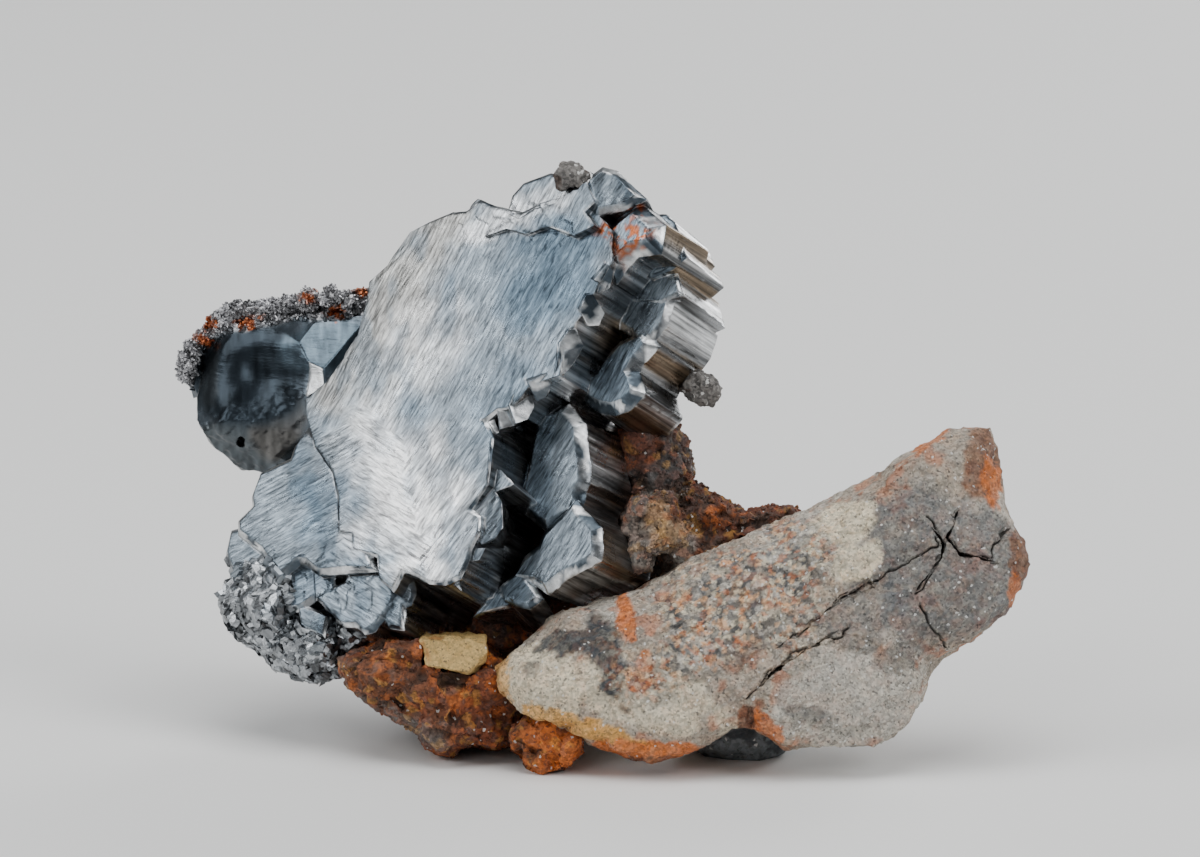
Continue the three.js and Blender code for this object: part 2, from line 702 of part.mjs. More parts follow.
// A lump with broken faces: a sphere whose surface is drawn in to planes and roughened.
function stone({ at, radii, seed, faces, grain, detail }, grow = 0) {
  THREE.MathUtils.seededRandom(seed);
  const random = () => THREE.MathUtils.seededRandom();
  const breaks = Array.from({ length: faces }, () => ({
    facing: new THREE.Vector3(random() - 0.5, random() - 0.5, random() - 0.5).normalize(),
    reach: BREAK_NEAREST + BREAK_SPREAD * random(),
  }));
  const geometry = new THREE.IcosahedronGeometry(1, detail);
  const position = geometry.attributes.position;
  const size = new THREE.Vector3(...radii).addScalar(grow);
  const middle = new THREE.Vector3(...at);
  const point = new THREE.Vector3();
  for (let index = 0; index < position.count; index += 1) {
    point.fromBufferAttribute(position, index).normalize();
    const reach = breaks.reduce((least, plane) => {
      const slope = point.dot(plane.facing);
      return slope > BREAK_REACH ? Math.min(least, plane.reach / slope) : least;
    }, 1);
    const bumps = point.clone().multiplyScalar(GRAIN_PITCH);
    const rough = 2 * grain * noise.noise(bumps.x + seed, bumps.y, bumps.z);
    point.multiplyScalar(reach + rough).multiply(size).add(middle);
    position.setXYZ(index, point.x, point.y, point.z);
  }
  return solid(geometry);
}

// Distance from the middle of an outline to its edge, in the direction of an angle.
function reachOfOutline(outline, middle, angle) {
  const [dx, dy] = [Math.cos(angle), Math.sin(angle)];
  return outline.reduce((most, [ax, ay], index) => {
    const [bx, by] = outline[(index + 1) % outline.length];
    const [ex, ey] = [bx - ax, by - ay];
    const turn = dx * ey - dy * ex;
    const distance = ((ax - middle[0]) * ey - (ay - middle[1]) * ex) / turn;
    const share = ((ax - middle[0]) * dy - (ay - middle[1]) * dx) / turn;
    return share >= 0 && share <= 1 && distance > most ? distance : most;
  }, 0);
}

// A lump seen as an outline: a sphere flattened in depth and stretched so that its rim follows the
// outline. Its shoulders are rounded, and it swells and is roughened.
function lump(spec, grow = 0) {
  const { outline, middle, stretch = [1, 0], lean = 0, thickness, front, swell, rough, detail } = spec;
  const geometry = new THREE.IcosahedronGeometry(1, detail);
  const longer = stretch[0];
  const turned = THREE.MathUtils.degToRad(stretch[1]);
  const position = geometry.attributes.position;
  const point = new THREE.Vector3();
  for (let index = 0; index < position.count; index += 1) {
    point.fromBufferAttribute(position, index).normalize();
    const side = Math.max(0, Math.abs(point.z) - LUMP_RIM) / (1 - LUMP_RIM);
    const share = Math.sqrt(1 - side);
    const angle = turned + Math.atan2(point.y, longer * point.x);
    const reach = share * (reachOfOutline(outline, middle, angle) + grow);
    const x = middle[0] + reach * Math.cos(angle);
    const y = middle[1] + reach * Math.sin(angle);
    const height = (1 - share ** LUMP_SHOULDER) ** (1 / LUMP_SHOULDER);
    const rim = THREE.MathUtils.clamp(point.z / LUMP_RIM, -1, 1);
    const crown = Math.sign(point.z) * height;
    const depth = (0.5 * thickness + grow) * THREE.MathUtils.lerp(rim, crown, LUMP_CROWN);
    const slow = swell * noise.noise(SWELL_PITCH * x, SWELL_PITCH * y, SWELL_PITCH * depth);
    const quick = rough * noise.noise(ROUGH_PITCH * x, ROUGH_PITCH * y, ROUGH_PITCH * depth);
    const back = 0.5 * thickness + lean * (y - middle[1]);
    position.setXYZ(index, x, y, front - back + depth + 2 * (slow + quick));
  }
  return solid(geometry);
}

// A narrow crack along a line on the front of the shard.
function crack(line) {
  const points = line.map(([x, y]) => new THREE.Vector2(x, y));
  const sides = [1, -1].map((side) => points.slice(1, -1).map((point, index) => {
    const run = points[index + 2].clone().sub(points[index]).normalize();
    return point.clone().addScaledVector(new THREE.Vector2(-run.y, run.x), (side * CRACK_WIDTH) / 2);
  }));
  const end = points[points.length - 1];
  const shape = new THREE.Shape([points[0], ...sides[0], end, ...sides[1].reverse()]);
  const geometry = new THREE.ExtrudeGeometry(shape, { depth: 2 * CRACK_DEPTH, bevelEnabled: false });
  geometry.translate(0, 0, SHARD.front - SHARD.lean * (line[0][1] - SHARD.middle[1]) - CRACK_DEPTH);
  return solid(geometry);
}

// The half space in front of a plane.
function halfSpace({ point, facing }) {
  const box = new THREE.BoxGeometry(CUT_SIZE, CUT_SIZE, CUT_SIZE);
  box.translate(0, 0, CUT_SIZE / 2);
  const turn = new THREE.Quaternion().setFromUnitVectors(
    new THREE.Vector3(0, 0, 1),
    new THREE.Vector3(...facing).normalize(),
  );
  box.applyQuaternion(turn);
  box.translate(...point);
  return solid(box);
}

// The largest body of a solid that a cut has left in bits.
function largest(whole) {
  return whole.decompose().reduce((most, next) => (next.volume() > most.volume() ? next : most));
}

// All crystals of the cluster, grown together.
function clusterSolid(grow = 0) {
  const facets = join(FACE_FACETS.map((facet) => inFrontOfFacet(facet)));
  const upper = UPPER_STACK.map((cog) => ({ rise: UPPER_STACK_RISE, ...cog }));
  const lower = LOWER_STACK.map((cog) => ({ rise: LOWER_STACK_RISE, ...cog }));
  return join([
    crystal(LARGE_FACE, 1, grow).subtract(facets),
    ...FACE_PLATES.map((plate, index) => crystal(plate, SEED.plates + index, grow)),
    ...EDGE_COGS.map((cog, index) => crystal(cog, SEED.cogs + index, grow)),
    ...upper.map((cog, index) => crystal(cog, SEED.upperStack + index, grow)),
    ...lower.map((cog, index) => crystal(cog, SEED.lowerStack + index, grow)),
    ...LOWER_LEFT_PLATES.map((plate, index) => crystal(plate, SEED.lowerLeft + index, grow)),
    ...BROKEN_ENDS.map((end) => stone(end, grow)),
  ]);
}

// Corners moved away from their middle.
function growFrom(corners, grow) {
  const points = corners.map((corner) => new THREE.Vector3(...corner));
  const total = points.reduce((sum, point) => sum.add(point), new THREE.Vector3());
  const centre = total.divideScalar(points.length);
  return points.map((point) => {
    const away = point.clone().sub(centre);
    return point.addScaledVector(away.normalize(), GROWTH_AT_CORNERS * grow).toArray();
  });
}

// A block with flat faces between its corners.
function hull(corners) {
  return solid(new ConvexGeometry(corners.map((corner) => new THREE.Vector3(...corner))));
}

// The small crystals along the top of the dark crystal, turned every way.
function crownCrystals() {
  const line = new THREE.CatmullRomCurve3(CROWN_LINE.map((point) => new THREE.Vector3(...point)));
  THREE.MathUtils.seededRandom(SEED.crown);
  const random = () => THREE.MathUtils.seededRandom();
  return Array.from({ length: CROWN_COUNT }, (_, index) => {
    const size = THREE.MathUtils.lerp(...CROWN_SIZES, random());
    const geometry = new THREE.OctahedronGeometry(size);
    geometry.rotateX(Math.PI * random());
    geometry.rotateY(Math.PI * random());
    geometry.rotateZ(Math.PI * random());
    const spot = line.getPointAt((index + 0.5) / CROWN_COUNT).toArray();
    const spread = spot.map((value) => value + CROWN_SPREAD * (2 * random() - 1));
    geometry.translate(...spread);
    return solid(geometry);
  });
}

function darkCrystal() {
  const shape = new THREE.Shape(DARK_BLOCK.outline.map(([x, y]) => new THREE.Vector2(x, y)));
  const depth = DARK_BLOCK.front - DARK_BLOCK.back;
  const geometry = new THREE.ExtrudeGeometry(shape, { depth, bevelEnabled: false });
  geometry.translate(0, 0, DARK_BLOCK.back);
  const body = solid(geometry)
    .subtract(join(DARK_FACETS.map((facet) => halfSpace(facet))))
    .subtract(stone(DARK_HOLLOW))
    .subtract(stone(DARK_PIT));
  return join([body, hull(CROWN_CORNERS), ...crownCrystals()]);
}

const matrixLumps = (grow) => [
  ...MATRIX_LUMPS.map((part) => lump(part, grow)),
  stone(MATRIX_LINK, grow),
  stone(MATRIX_MASS, grow).subtract(join(MASS_BREAKS.map((face) => halfSpace(face)))),
];
const matrixRoom = join(matrixLumps(CLEARANCE));
const sideriteRoom = hull(growFrom(BLOCK_CORNERS, CLEARANCE));
const slateRoom = stone(SLATE, CLEARANCE);
const nubRoom = join([stone(TOP_NUB, CLEARANCE), stone(SIDE_NUB, CLEARANCE)]);

const cluster = largest(clusterSolid().subtract(matrixRoom).subtract(sideriteRoom).subtract(nubRoom));
const clusterRoom = clusterSolid(CLEARANCE + COG_RELIEF);
const dark = largest(darkCrystal().subtract(clusterRoom));
const shard = largest(
  lump(SHARD)
    .subtract(join(SHARD_BREAKS.map((face) => halfSpace(face))))
    .subtract(join(SHARD_CRACKS.map((line) => crack(line))))
    .subtract(stone(SHARD_NOTCH))
    .subtract(clusterRoom)
    .subtract(matrixRoom)
    .subtract(sideriteRoom)
    .subtract(slateRoom),
);
const matrix = largest(
  join(matrixLumps(0))
    .subtract(sideriteRoom)
    .subtract(slateRoom)
    .subtract(nubRoom),
);

const METALLIC = { roughness: 0.3, metalness: 0.9 };
const STONY = { roughness: 0.9, metalness: 0 };
const pieces = [
  { name: "bournonite_cluster", body: cluster, look: { color: 0x8a929c, ...METALLIC } },
  { name: "dark_crystal", body: dark, look: { color: 0x3c4450, ...METALLIC } },
  { name: "sandstone_shard", body: shard, look: { color: 0xa09888, ...STONY } },
  { name: "limonite_matrix", body: matrix, look: { color: 0x8a4a24, ...STONY } },
  { name: "siderite_block", body: hull(BLOCK_CORNERS), look: { color: 0xc09850, ...STONY } },
  { name: "slate_foot", body: stone(SLATE), look: { color: 0x50585e, ...STONY } },
  { name: "matrix_nub_top", body: stone(TOP_NUB), look: { color: 0x6a6660, ...STONY } },
  { name: "matrix_nub_side", body: stone(SIDE_NUB), look: { color: 0x6a6660, ...STONY } },
];

// Stand the pieces upright, trim them flat at the floor and put the middle of their footprint at the
// origin.
const upright = new THREE.Matrix4().makeRotationX(THREE.MathUtils.degToRad(90 - VIEW_ELEVATION));
const floor = new THREE.BoxGeometry(FLOOR_SIZE, FLOOR_SIZE, FLOOR_SIZE);
floor.translate(0, 0, FLOOR_LEVEL - FLOOR_SIZE / 2);
const belowFloor = solid(floor);

const specimen = new THREE.Group();
specimen.name = "bournonite_specimen";
for (const { name, body, look } of pieces) {
  const standing = largest(body.transform(upright.elements).subtract(belowFloor));
  const { vertProperties, triVerts } = standing.getMesh();
  const geometry = new THREE.BufferGeometry();
  geometry.setAttribute("position", new THREE.BufferAttribute(vertProperties, 3));
  geometry.setIndex(new THREE.BufferAttribute(triVerts, 1));
  const mesh = new THREE.Mesh(geometry, new THREE.MeshStandardMaterial(look));
  mesh.name = name;
  specimen.add(mesh);
}
const middle = new THREE.Box3().setFromObject(specimen).getCenter(new THREE.Vector3());
specimen.position.set(-middle.x, -middle.y, -FLOOR_LEVEL);

export default specimen;
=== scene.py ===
# %% [markdown]
# # A bournonite specimen
# A cabinet specimen of a steel-grey mineral with cogwheel crystals. It has a large feathered
# crystal face, striated stacks at its right, one dark glassy crystal at its left, rusty matrix
# below and a long shard of sandstone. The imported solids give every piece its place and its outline.
# This lesson gives each of them a fine surface and a finish.

# %% Load the frame
import itertools
import math

import bmesh
import bpy
import numpy as np
from mathutils import Matrix, Vector


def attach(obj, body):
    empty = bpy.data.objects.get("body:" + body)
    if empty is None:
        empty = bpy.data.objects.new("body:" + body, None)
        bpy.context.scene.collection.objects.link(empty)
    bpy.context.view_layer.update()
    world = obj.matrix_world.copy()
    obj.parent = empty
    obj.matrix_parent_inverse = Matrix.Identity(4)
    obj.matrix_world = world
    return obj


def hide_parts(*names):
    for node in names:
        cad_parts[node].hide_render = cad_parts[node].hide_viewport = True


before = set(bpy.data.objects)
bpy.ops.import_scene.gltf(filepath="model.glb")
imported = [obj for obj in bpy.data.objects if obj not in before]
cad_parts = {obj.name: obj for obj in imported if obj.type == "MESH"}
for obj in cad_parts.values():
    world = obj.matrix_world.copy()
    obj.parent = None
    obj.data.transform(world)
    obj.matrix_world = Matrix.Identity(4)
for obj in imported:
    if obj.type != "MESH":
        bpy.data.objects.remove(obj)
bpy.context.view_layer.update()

# %% [markdown]
# ## The front view
# The specimen is described the way a viewer sees it from the front, 12 degrees above the floor: x
# to the right, y up and z towards the viewer, in millimetres. Two small functions go from there to
# the frame and back, so that patches, growth lines and the camera can all be given in the same
# plain numbers.

# %% Front view and frame
MILLIMETRE = 0.001
VIEW_ELEVATION = math.radians(12)
VIEW_SIN = math.sin(VIEW_ELEVATION)
VIEW_COS = math.cos(VIEW_ELEVATION)
FRONT_AXES = np.array([[1, 0, 0], [0, VIEW_SIN, VIEW_COS], [0, -VIEW_COS, VIEW_SIN]])
FRAME_ORIGIN = np.array([-0.073, 25.376, -1.0])


def to_front(points):
    return (np.asarray(points) / MILLIMETRE + FRAME_ORIGIN) @ FRONT_AXES.T


def to_frame(points):
    return (np.asarray(points) @ FRONT_AXES - FRAME_ORIGIN) * MILLIMETRE


print("front view of the frame's origin:", to_front([[0, 0, 0]]).round(2))

# %% [markdown]
# ## Noise
# Rock and crystal surfaces are never flat. Blender has noise textures for materials, but here the
# vertices themselves are moved, so a small noise in numpy is handy: random values on a grid,
# blended smoothly. A second function finds the nearest of randomly scattered points, which gives
# cells, like grains or broken plates.


# %% Noise in numpy
def random_at(places, seed):
    """A number from 0 to 1 for each place on the whole-number grid, mixed from its three counts."""
    x, y, z = places[..., 0], places[..., 1], places[..., 2]
    mixed = x * 374761393 + y * 668265263 + z * 982451653 + seed * 1274126177
    mixed = (mixed ^ (mixed >> 13)) * 1274126177 & 0xFFFFFFFF
    mixed = (mixed ^ (mixed >> 16)) * 2246822519 & 0xFFFFFFFF
    return ((mixed ^ (mixed >> 15)) & 0xFFFF) / 65535.0


def noise(points, size, seed):
    """Smooth noise from -1 to 1. size is one number, or one for each direction."""
    scaled = points / np.asarray(size, float)
    cell = np.floor(scaled).astype(np.int64)
    share = scaled - cell
    share = share * share * (3 - 2 * share)
    total = np.zeros(len(points))
    for corner in itertools.product((0, 1), repeat=3):
        weight = np.prod(np.where(corner, share, 1 - share), axis=1)
        total += weight * random_at(cell + np.array(corner), seed)
    return 2 * total - 1


def fractal(points, size, seed, octaves=4, fade=0.5):
    """Layers of noise; each is half as large as the one before and fainter."""
    size = np.asarray(size, float)
    return sum(fade**k * noise(points, size / 2**k, seed + 17 * k) for k in range(octaves))


def cells(points, size, seed):
    """A random number from 0 to 1 for the nearest of scattered points, the same all over its cell."""
    scaled = points / size
    home = np.floor(scaled).astype(np.int64)
    nearest = np.full(len(points), np.inf)
    label = np.zeros(len(points))
    for offset in itertools.product((-1, 0, 1), repeat=3):
        cell = home + np.array(offset)
        seat = cell + np.stack([random_at(cell, seed + k) for k in range(3)], axis=1)
        distance = np.linalg.norm(scaled - seat, axis=1)
        closer = distance < nearest
        label = np.where(closer, random_at(cell, seed + 5), label)
        nearest = np.where(closer, distance, nearest)
    return label


def smoothstep(low, high, value):
    share = np.clip((value - low) / (high - low), 0, 1)
    return share * share * (3 - 2 * share)


# %% [markdown]
# ## Patches
# Stains, patches and rough spots are ragged ovals in the front view: a distance from a middle, made
# uneven by noise and cut off softly. Painting one mixes its colour into the tint of the vertices
# that it covers.


# %% Ragged patches
def blob(points, middle, radii, turn=0.0, edge=0.35, ragged=0.35, seed=50):
    """Share of a ragged oval patch in the front view."""
    dx, dy = points[:, 0] - middle[0], points[:, 1] - middle[1]
    angle = math.radians(turn)
    u = (dx * math.cos(angle) + dy * math.sin(angle)) / radii[0]
    v = (-dx * math.sin(angle) + dy * math.cos(angle)) / radii[1]
    reach = np.hypot(u, v) + ragged * fractal(points, min(radii) * 0.9, seed, 3)
    return smoothstep(1 + edge, 1 - edge, reach)


def paint(tint, color, share):
    return tint + (np.asarray(color) - tint) * np.clip(share, 0, 1)[:, None]


def paint_patches(tint, points, patches, edge, ragged, seed, mask=1.0):
    """Paints a list of patches: colour, middle, radii, turn in degrees, strength."""
    for index, (color, middle, radii, turn, strength) in enumerate(patches):
        patch = blob(points, middle, radii, turn, edge, ragged, seed + index)
        tint = paint(tint, color, mask * strength * patch)
    return tint


def pick_color(colors, label):
    return colors[np.minimum((label * len(colors)).astype(int), len(colors) - 1)]


# %% [markdown]
# ## Fine meshes from the solids
# Each visual piece starts as a copy of its solid. Its loose triangles are merged, flat faces are
# joined again and sharp edges get a narrow bevel, because real crystal edges catch the light. Then
# every edge that is too long is split, again and again. A voxel remesh would be shorter to write,
# but it rounds off crystal edges.


# %% Copy, bevel and refine a solid
def solid_copy(node_name, bevel, sharp_angle=20):
    shape = bmesh.new()
    shape.from_mesh(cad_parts[node_name].data)
    bmesh.ops.remove_doubles(shape, verts=shape.verts, dist=2e-6)
    bmesh.ops.dissolve_limit(shape, angle_limit=math.radians(1), verts=shape.verts, edges=shape.edges)
    if bevel > 0:
        limit = math.radians(sharp_angle)
        sharp = [edge for edge in shape.edges if edge.calc_face_angle(0) > limit]
        width = bevel * MILLIMETRE
        bmesh.ops.bevel(shape, geom=sharp, offset=width, segments=1, affect="EDGES", profile=0.5)
    bmesh.ops.triangulate(shape, faces=shape.faces)
    points = to_front([vertex.co for vertex in shape.verts])
    triangles = np.array([[vertex.index for vertex in face.verts] for face in shape.faces])
    shape.free()
    return points, triangles


def triangle_normals(points, triangles):
    a, b, c = (points[triangles[:, k]] for k in range(3))
    return np.cross(b - a, c - a)


def unit(vectors):
    return vectors / np.maximum(np.linalg.norm(vectors, axis=-1, keepdims=True), 1e-12)


def refine(points, triangles, longest_edge, rounds=9):
    """Splits edges until none is longer than longest_edge(middles, normals) of a triangle beside it."""
    for _ in range(rounds):
        pairs = np.stack([triangles, np.roll(triangles, -1, axis=1)], axis=2).reshape(-1, 2)
        length = np.linalg.norm(points[pairs[:, 0]] - points[pairs[:, 1]], axis=1).reshape(-1, 3)
        middles = points[triangles].mean(axis=1)
        limit = longest_edge(middles, unit(triangle_normals(points, triangles)))
        keys = pairs.min(axis=1) * len(points) + pairs.max(axis=1)
        keys, inverse = np.unique(keys, return_inverse=True)
        edges = np.stack([keys // len(points), keys % len(points)], axis=1)
        split = np.zeros(len(edges), bool)
        split[inverse.reshape(-1)[(length > limit[:, None]).reshape(-1)]] = True
        if not split.any():
            break
        number = np.full(len(edges), -1)
        number[split] = len(points) + np.arange(split.sum())
        points = np.concatenate([points, points[edges[split]].mean(axis=1)])
        triangles = split_triangles(triangles, number[inverse].reshape(-1, 3))
    return points, triangles


def split_triangles(triangles, middle):
    """Cuts each triangle through the middles of its split edges; -1 marks an edge that stays whole."""
    count = (middle >= 0).sum(axis=1)
    made = [triangles[count == 0]]
    for marks in (1, 2):
        chosen = count == marks
        if marks == 1:
            first = np.argmax(middle[chosen] >= 0, axis=1)
        else:
            first = (np.argmin(middle[chosen], axis=1) + 1) % 3
        turn = (first[:, None] + np.arange(3)) % 3
        a, b, c = np.take_along_axis(triangles[chosen], turn, axis=1).T
        ab, bc, _ = np.take_along_axis(middle[chosen], turn, axis=1).T
        fans = [(a, ab, c), (ab, b, c)] if marks == 1 else [(ab, b, bc), (a, ab, bc), (a, bc, c)]
        made += [np.stack(fan, axis=1) for fan in fans]
    a, b, c = triangles[count == 3].T
    ab, bc, ca = middle[count == 3].T
    made += [np.stack(fan, axis=1) for fan in ((a, ab, ca), (ab, b, bc), (ca, bc, c), (ab, bc, ca))]
    return np.concatenate(made)


def vertex_normals(points, triangles, chosen=None):
    normals = triangle_normals(points, triangles)
    if chosen is not None:
        normals = normals * chosen[:, None]
    total = np.zeros_like(points)
    for corner in range(3):
        for axis in range(3):
            total[:, axis] += np.bincount(triangles[:, corner], normals[:, axis], len(points))
    return unit(total)


def smooth(points, triangles, share, rounds):
    """Draws vertices to the mean of their neighbours, where share is above 0."""
    pairs = np.concatenate([triangles[:, [0, 1]], triangles[:, [1, 2]], triangles[:, [2, 0]]])
    start, end = pairs.T
    count = np.bincount(start, minlength=len(points))[:, None]
    for _ in range(rounds):
        total = np.stack([np.bincount(start, points[end, k], len(points)) for k in range(3)], axis=1)
        points = points + share[:, None] * (total / count - points)
    return points


# %% [markdown]
# ## Making the pieces
# A finished piece is a mesh at the origin, with its place in its vertices. It carries named values
# on its vertices, such as a tint or a share of striated side, that its material reads. It rides on
# the one body of the frame and stands for its solid.


# %% Build a piece from arrays
def make_piece(name, points, triangles, material, values, sharp_angle, node=None, slot=None):
    mesh = bpy.data.meshes.new(name)
    placed = to_frame(points)
    placed[:, 2] = np.maximum(placed[:, 2], 0)
    mesh.from_pydata(placed.tolist(), [], triangles.tolist())
    for label, value in values.items():
        kind = "FLOAT_COLOR" if value.ndim == 2 else "FLOAT"
        layer = mesh.attributes.new(label, kind, "POINT")
        if value.ndim == 2:
            layer.data.foreach_set("color", np.c_[value, np.ones(len(value))].astype(np.float32).ravel())
        else:
            layer.data.foreach_set("value", value.astype(np.float32))
    mesh.polygons.foreach_set("use_smooth", np.ones(len(mesh.polygons), bool))
    mesh.set_sharp_from_angle(angle=math.radians(sharp_angle))
    mesh.materials.append(material)
    piece = bpy.data.objects.new(name, mesh)
    bpy.context.scene.collection.objects.link(piece)
    finish_piece(piece, node)
    print(name, len(mesh.polygons), "triangles")
    return piece


def finish_piece(piece, node):
    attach(piece, "root")
    if node:
        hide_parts(node)


# %% [markdown]
# ## Materials as graphs
# Every finish here is a graph of nodes. To keep the cells short, one helper adds a node and sets
# its inputs: a plain value goes on the socket and another node's output is linked to it. Patterns
# read Object coordinates, so they stay on the piece from every side.


# %% A helper for node graphs
def add_node(tree, kind, values=None, **settings):
    node = tree.nodes.new(kind)
    for key, value in settings.items():
        setattr(node, key, value)
    for key, value in (values or {}).items():
        socket = node.inputs[key]
        if isinstance(value, bpy.types.NodeSocket):
            tree.links.new(value, socket)
        else:
            socket.default_value = value
    return node


def math_node(tree, operation, *values):
    node = add_node(tree, "ShaderNodeMath", dict(enumerate(values)), operation=operation)
    return node.outputs[0]


def mix_colors(tree, share, first, second, blend="MIX"):
    node = add_node(tree, "ShaderNodeMix", data_type="RGBA", blend_type=blend)
    for socket, value in zip((node.inputs[0], node.inputs[6], node.inputs[7]), (share, first, second)):
        if isinstance(value, bpy.types.NodeSocket):
            tree.links.new(value, socket)
        else:
            socket.default_value = value
    return node.outputs[2]


def value_named(tree, name, color=False):
    node = add_node(tree, "ShaderNodeAttribute", attribute_name=name)
    return node.outputs["Color" if color else "Fac"]


def object_coordinates(tree, axes=None, scale=(1, 1, 1)):
    """Object coordinates in millimetres, turned so that they follow axes (rows), then scaled."""
    socket = add_node(tree, "ShaderNodeTexCoord").outputs["Object"]
    if axes is not None:
        turn = Matrix(axes).to_euler()
        socket = add_node(tree, "ShaderNodeMapping", {"Vector": socket, "Rotation": turn}).outputs[0]
    size = Vector(scale) / MILLIMETRE
    return add_node(tree, "ShaderNodeMapping", {"Vector": socket, "Scale": size}).outputs[0]


def noise_node(tree, vector, scale=1.0, detail=3.0, roughness=0.55, distortion=0.0):
    values = {"Vector": vector, "Scale": scale, "Detail": detail, "Roughness": roughness}
    values["Distortion"] = distortion
    return add_node(tree, "ShaderNodeTexNoise", values).outputs["Fac"]


def ramp(tree, value, low, high, to_low=0.0, to_high=1.0):
    values = {"Value": value, "From Min": low, "From Max": high, "To Min": to_low, "To Max": to_high}
    return add_node(tree, "ShaderNodeMapRange", values, clamp=True).outputs[0]


def new_material(name):
    material = bpy.data.materials.new(name)
    material.use_nodes = True
    return material, material.node_tree, material.node_tree.nodes["Principled BSDF"]


def connect(tree, shader, **sockets):
    for key, value in sockets.items():
        socket = shader.inputs[key.replace("_", " ")]
        if isinstance(value, bpy.types.NodeSocket):
            tree.links.new(value, socket)
        else:
            socket.default_value = value


def bump(tree, height, distance, strength=1.0):
    values = {"Height": height, "Distance": distance * MILLIMETRE, "Strength": strength}
    return add_node(tree, "ShaderNodeBump", values).outputs[0]


# %% [markdown]
# ## The crystal frame
# The big crystals share one axis, which leans up to the left and towards the viewer. Their end
# faces lie across it and show feathers; their sides run along it and are striated like stacked cog
# wheels. Both patterns are easiest to write in coordinates that follow the axis.

# %% Axis of the crystals
AXIS_LEAN = math.radians(35)
AXIS_RISE = math.radians(31)
AXIS = np.array([
    -math.sin(AXIS_LEAN) * math.cos(AXIS_RISE),
    math.sin(AXIS_LEAN) * math.sin(AXIS_RISE),
    math.cos(AXIS_LEAN),
])
ACROSS = unit(np.cross((0, 1, 0), AXIS))
CRYSTAL_AXES = np.stack([ACROSS, np.cross(AXIS, ACROSS), AXIS])
END_FACE = 0.86  # cosine of the largest angle between an end face and the axis


def in_crystal(points):
    return points @ CRYSTAL_AXES.T


print("axis in the front view:", AXIS.round(2))

# %% [markdown]
# ## Feathers on the large face
# The large face carries fine streaks: steep ones in its upper half, a herringbone about a spine in
# its lower half and a fan to the left. Each is a noise that is stretched along its own direction;
# smooth shares say which one rules where. Slow waves and a few tilted tiles make the face glint
# unevenly, as a mirror that isn't flat.

# %% Heights on the end faces
SPINE_START = np.array([-16.0, 17.5])
SPINE_END = np.array([-20.5, 37.0])
SPINE_RUN = unit(SPINE_END - SPINE_START)
BARB_SLOPE = 0.95
FAN_CENTRE = np.array([-13.0, 35.0])
UPPER_ANGLE = math.radians(62)
STREAK_PITCH = 0.55
STREAK_LENGTH = 5.0
STREAK_HEIGHT = 0.048


def streaks(across, along, seed):
    flat = np.stack([across / STREAK_PITCH, along / STREAK_LENGTH, np.zeros_like(along)], axis=1)
    return noise(flat, 1, seed) + 0.5 * noise(flat, 0.5, seed + 1)


def spine_place(x, y):
    aside = (x - SPINE_START[0]) * SPINE_RUN[1] - (y - SPINE_START[1]) * SPINE_RUN[0]
    along = (x - SPINE_START[0]) * SPINE_RUN[0] + (y - SPINE_START[1]) * SPINE_RUN[1]
    return aside, along


def feather_zones(points):
    """Shares of the right barbs, the left barbs and the fan; the rest has steep streaks."""
    flat = np.c_[points[:, :2], np.zeros(len(points))]
    x = points[:, 0] + 1.5 * fractal(flat, 3, 1, 3)
    y = points[:, 1] + 1.5 * fractal(flat, 3, 2, 3)
    low = smoothstep(38, 35, y)
    fan = smoothstep(-25, -26.5, x - 0.25 * (y - 28)) * low
    right = smoothstep(-0.3, 0.3, spine_place(x, y)[0])
    return np.stack([low * (1 - fan) * right, low * (1 - fan) * (1 - right), fan], axis=1)


def feather_height(points):
    flat = np.c_[points[:, :2], np.zeros(len(points))]
    sway = np.stack([1.4 * fractal(flat, 7, 3, 2), 1.4 * fractal(flat, 7, 4, 2)], axis=1)
    x, y = (flat[:, :2] + sway).T
    aside, along = spine_place(x, y)
    barbs = streaks(along - BARB_SLOPE * np.abs(aside), aside, 11)
    dx, dy = x - FAN_CENTRE[0], y - FAN_CENTRE[1]
    fan = streaks(np.arctan2(dy, -dx) * 14, np.hypot(dx, dy), 12)
    steep = streaks(-x * math.sin(UPPER_ANGLE) + y * math.cos(UPPER_ANGLE),
                    x * math.cos(UPPER_ANGLE) + y * math.sin(UPPER_ANGLE), 13)
    right_share, left_share, fan_share = feather_zones(points).T
    barb_share = right_share + left_share
    streaked = steep * (1 - barb_share - fan_share) + barbs * barb_share + fan * fan_share
    waves = 0.13 * fractal(flat, 8, 5, 3) + 0.03 * noise(flat, 2.2, 6)
    tile = cells(flat, 1.7, 9)
    tiled = blob(points, (-7.5, 55.6), (6.5, 2.4), 10, 0.3, 0.4, 10)
    tiled = np.maximum(tiled, blob(points, (-27.0, 20.0), (7.0, 4.0), -10, 0.4, 0.4, 14))
    return STREAK_HEIGHT * streaked + waves + 0.22 * tiled * (tile - 0.5)


# %% [markdown]
# ## The bournonite cluster
# The cluster is one grown piece. Its copy is refined most where the viewer sees end faces. End
# faces rise by the feather heights, the sides by striae that run along the axis, and the broken
# ends at the lower left are crumbled by cells and rough noise. A vertex on an edge takes a share of
# both, so no edge opens.

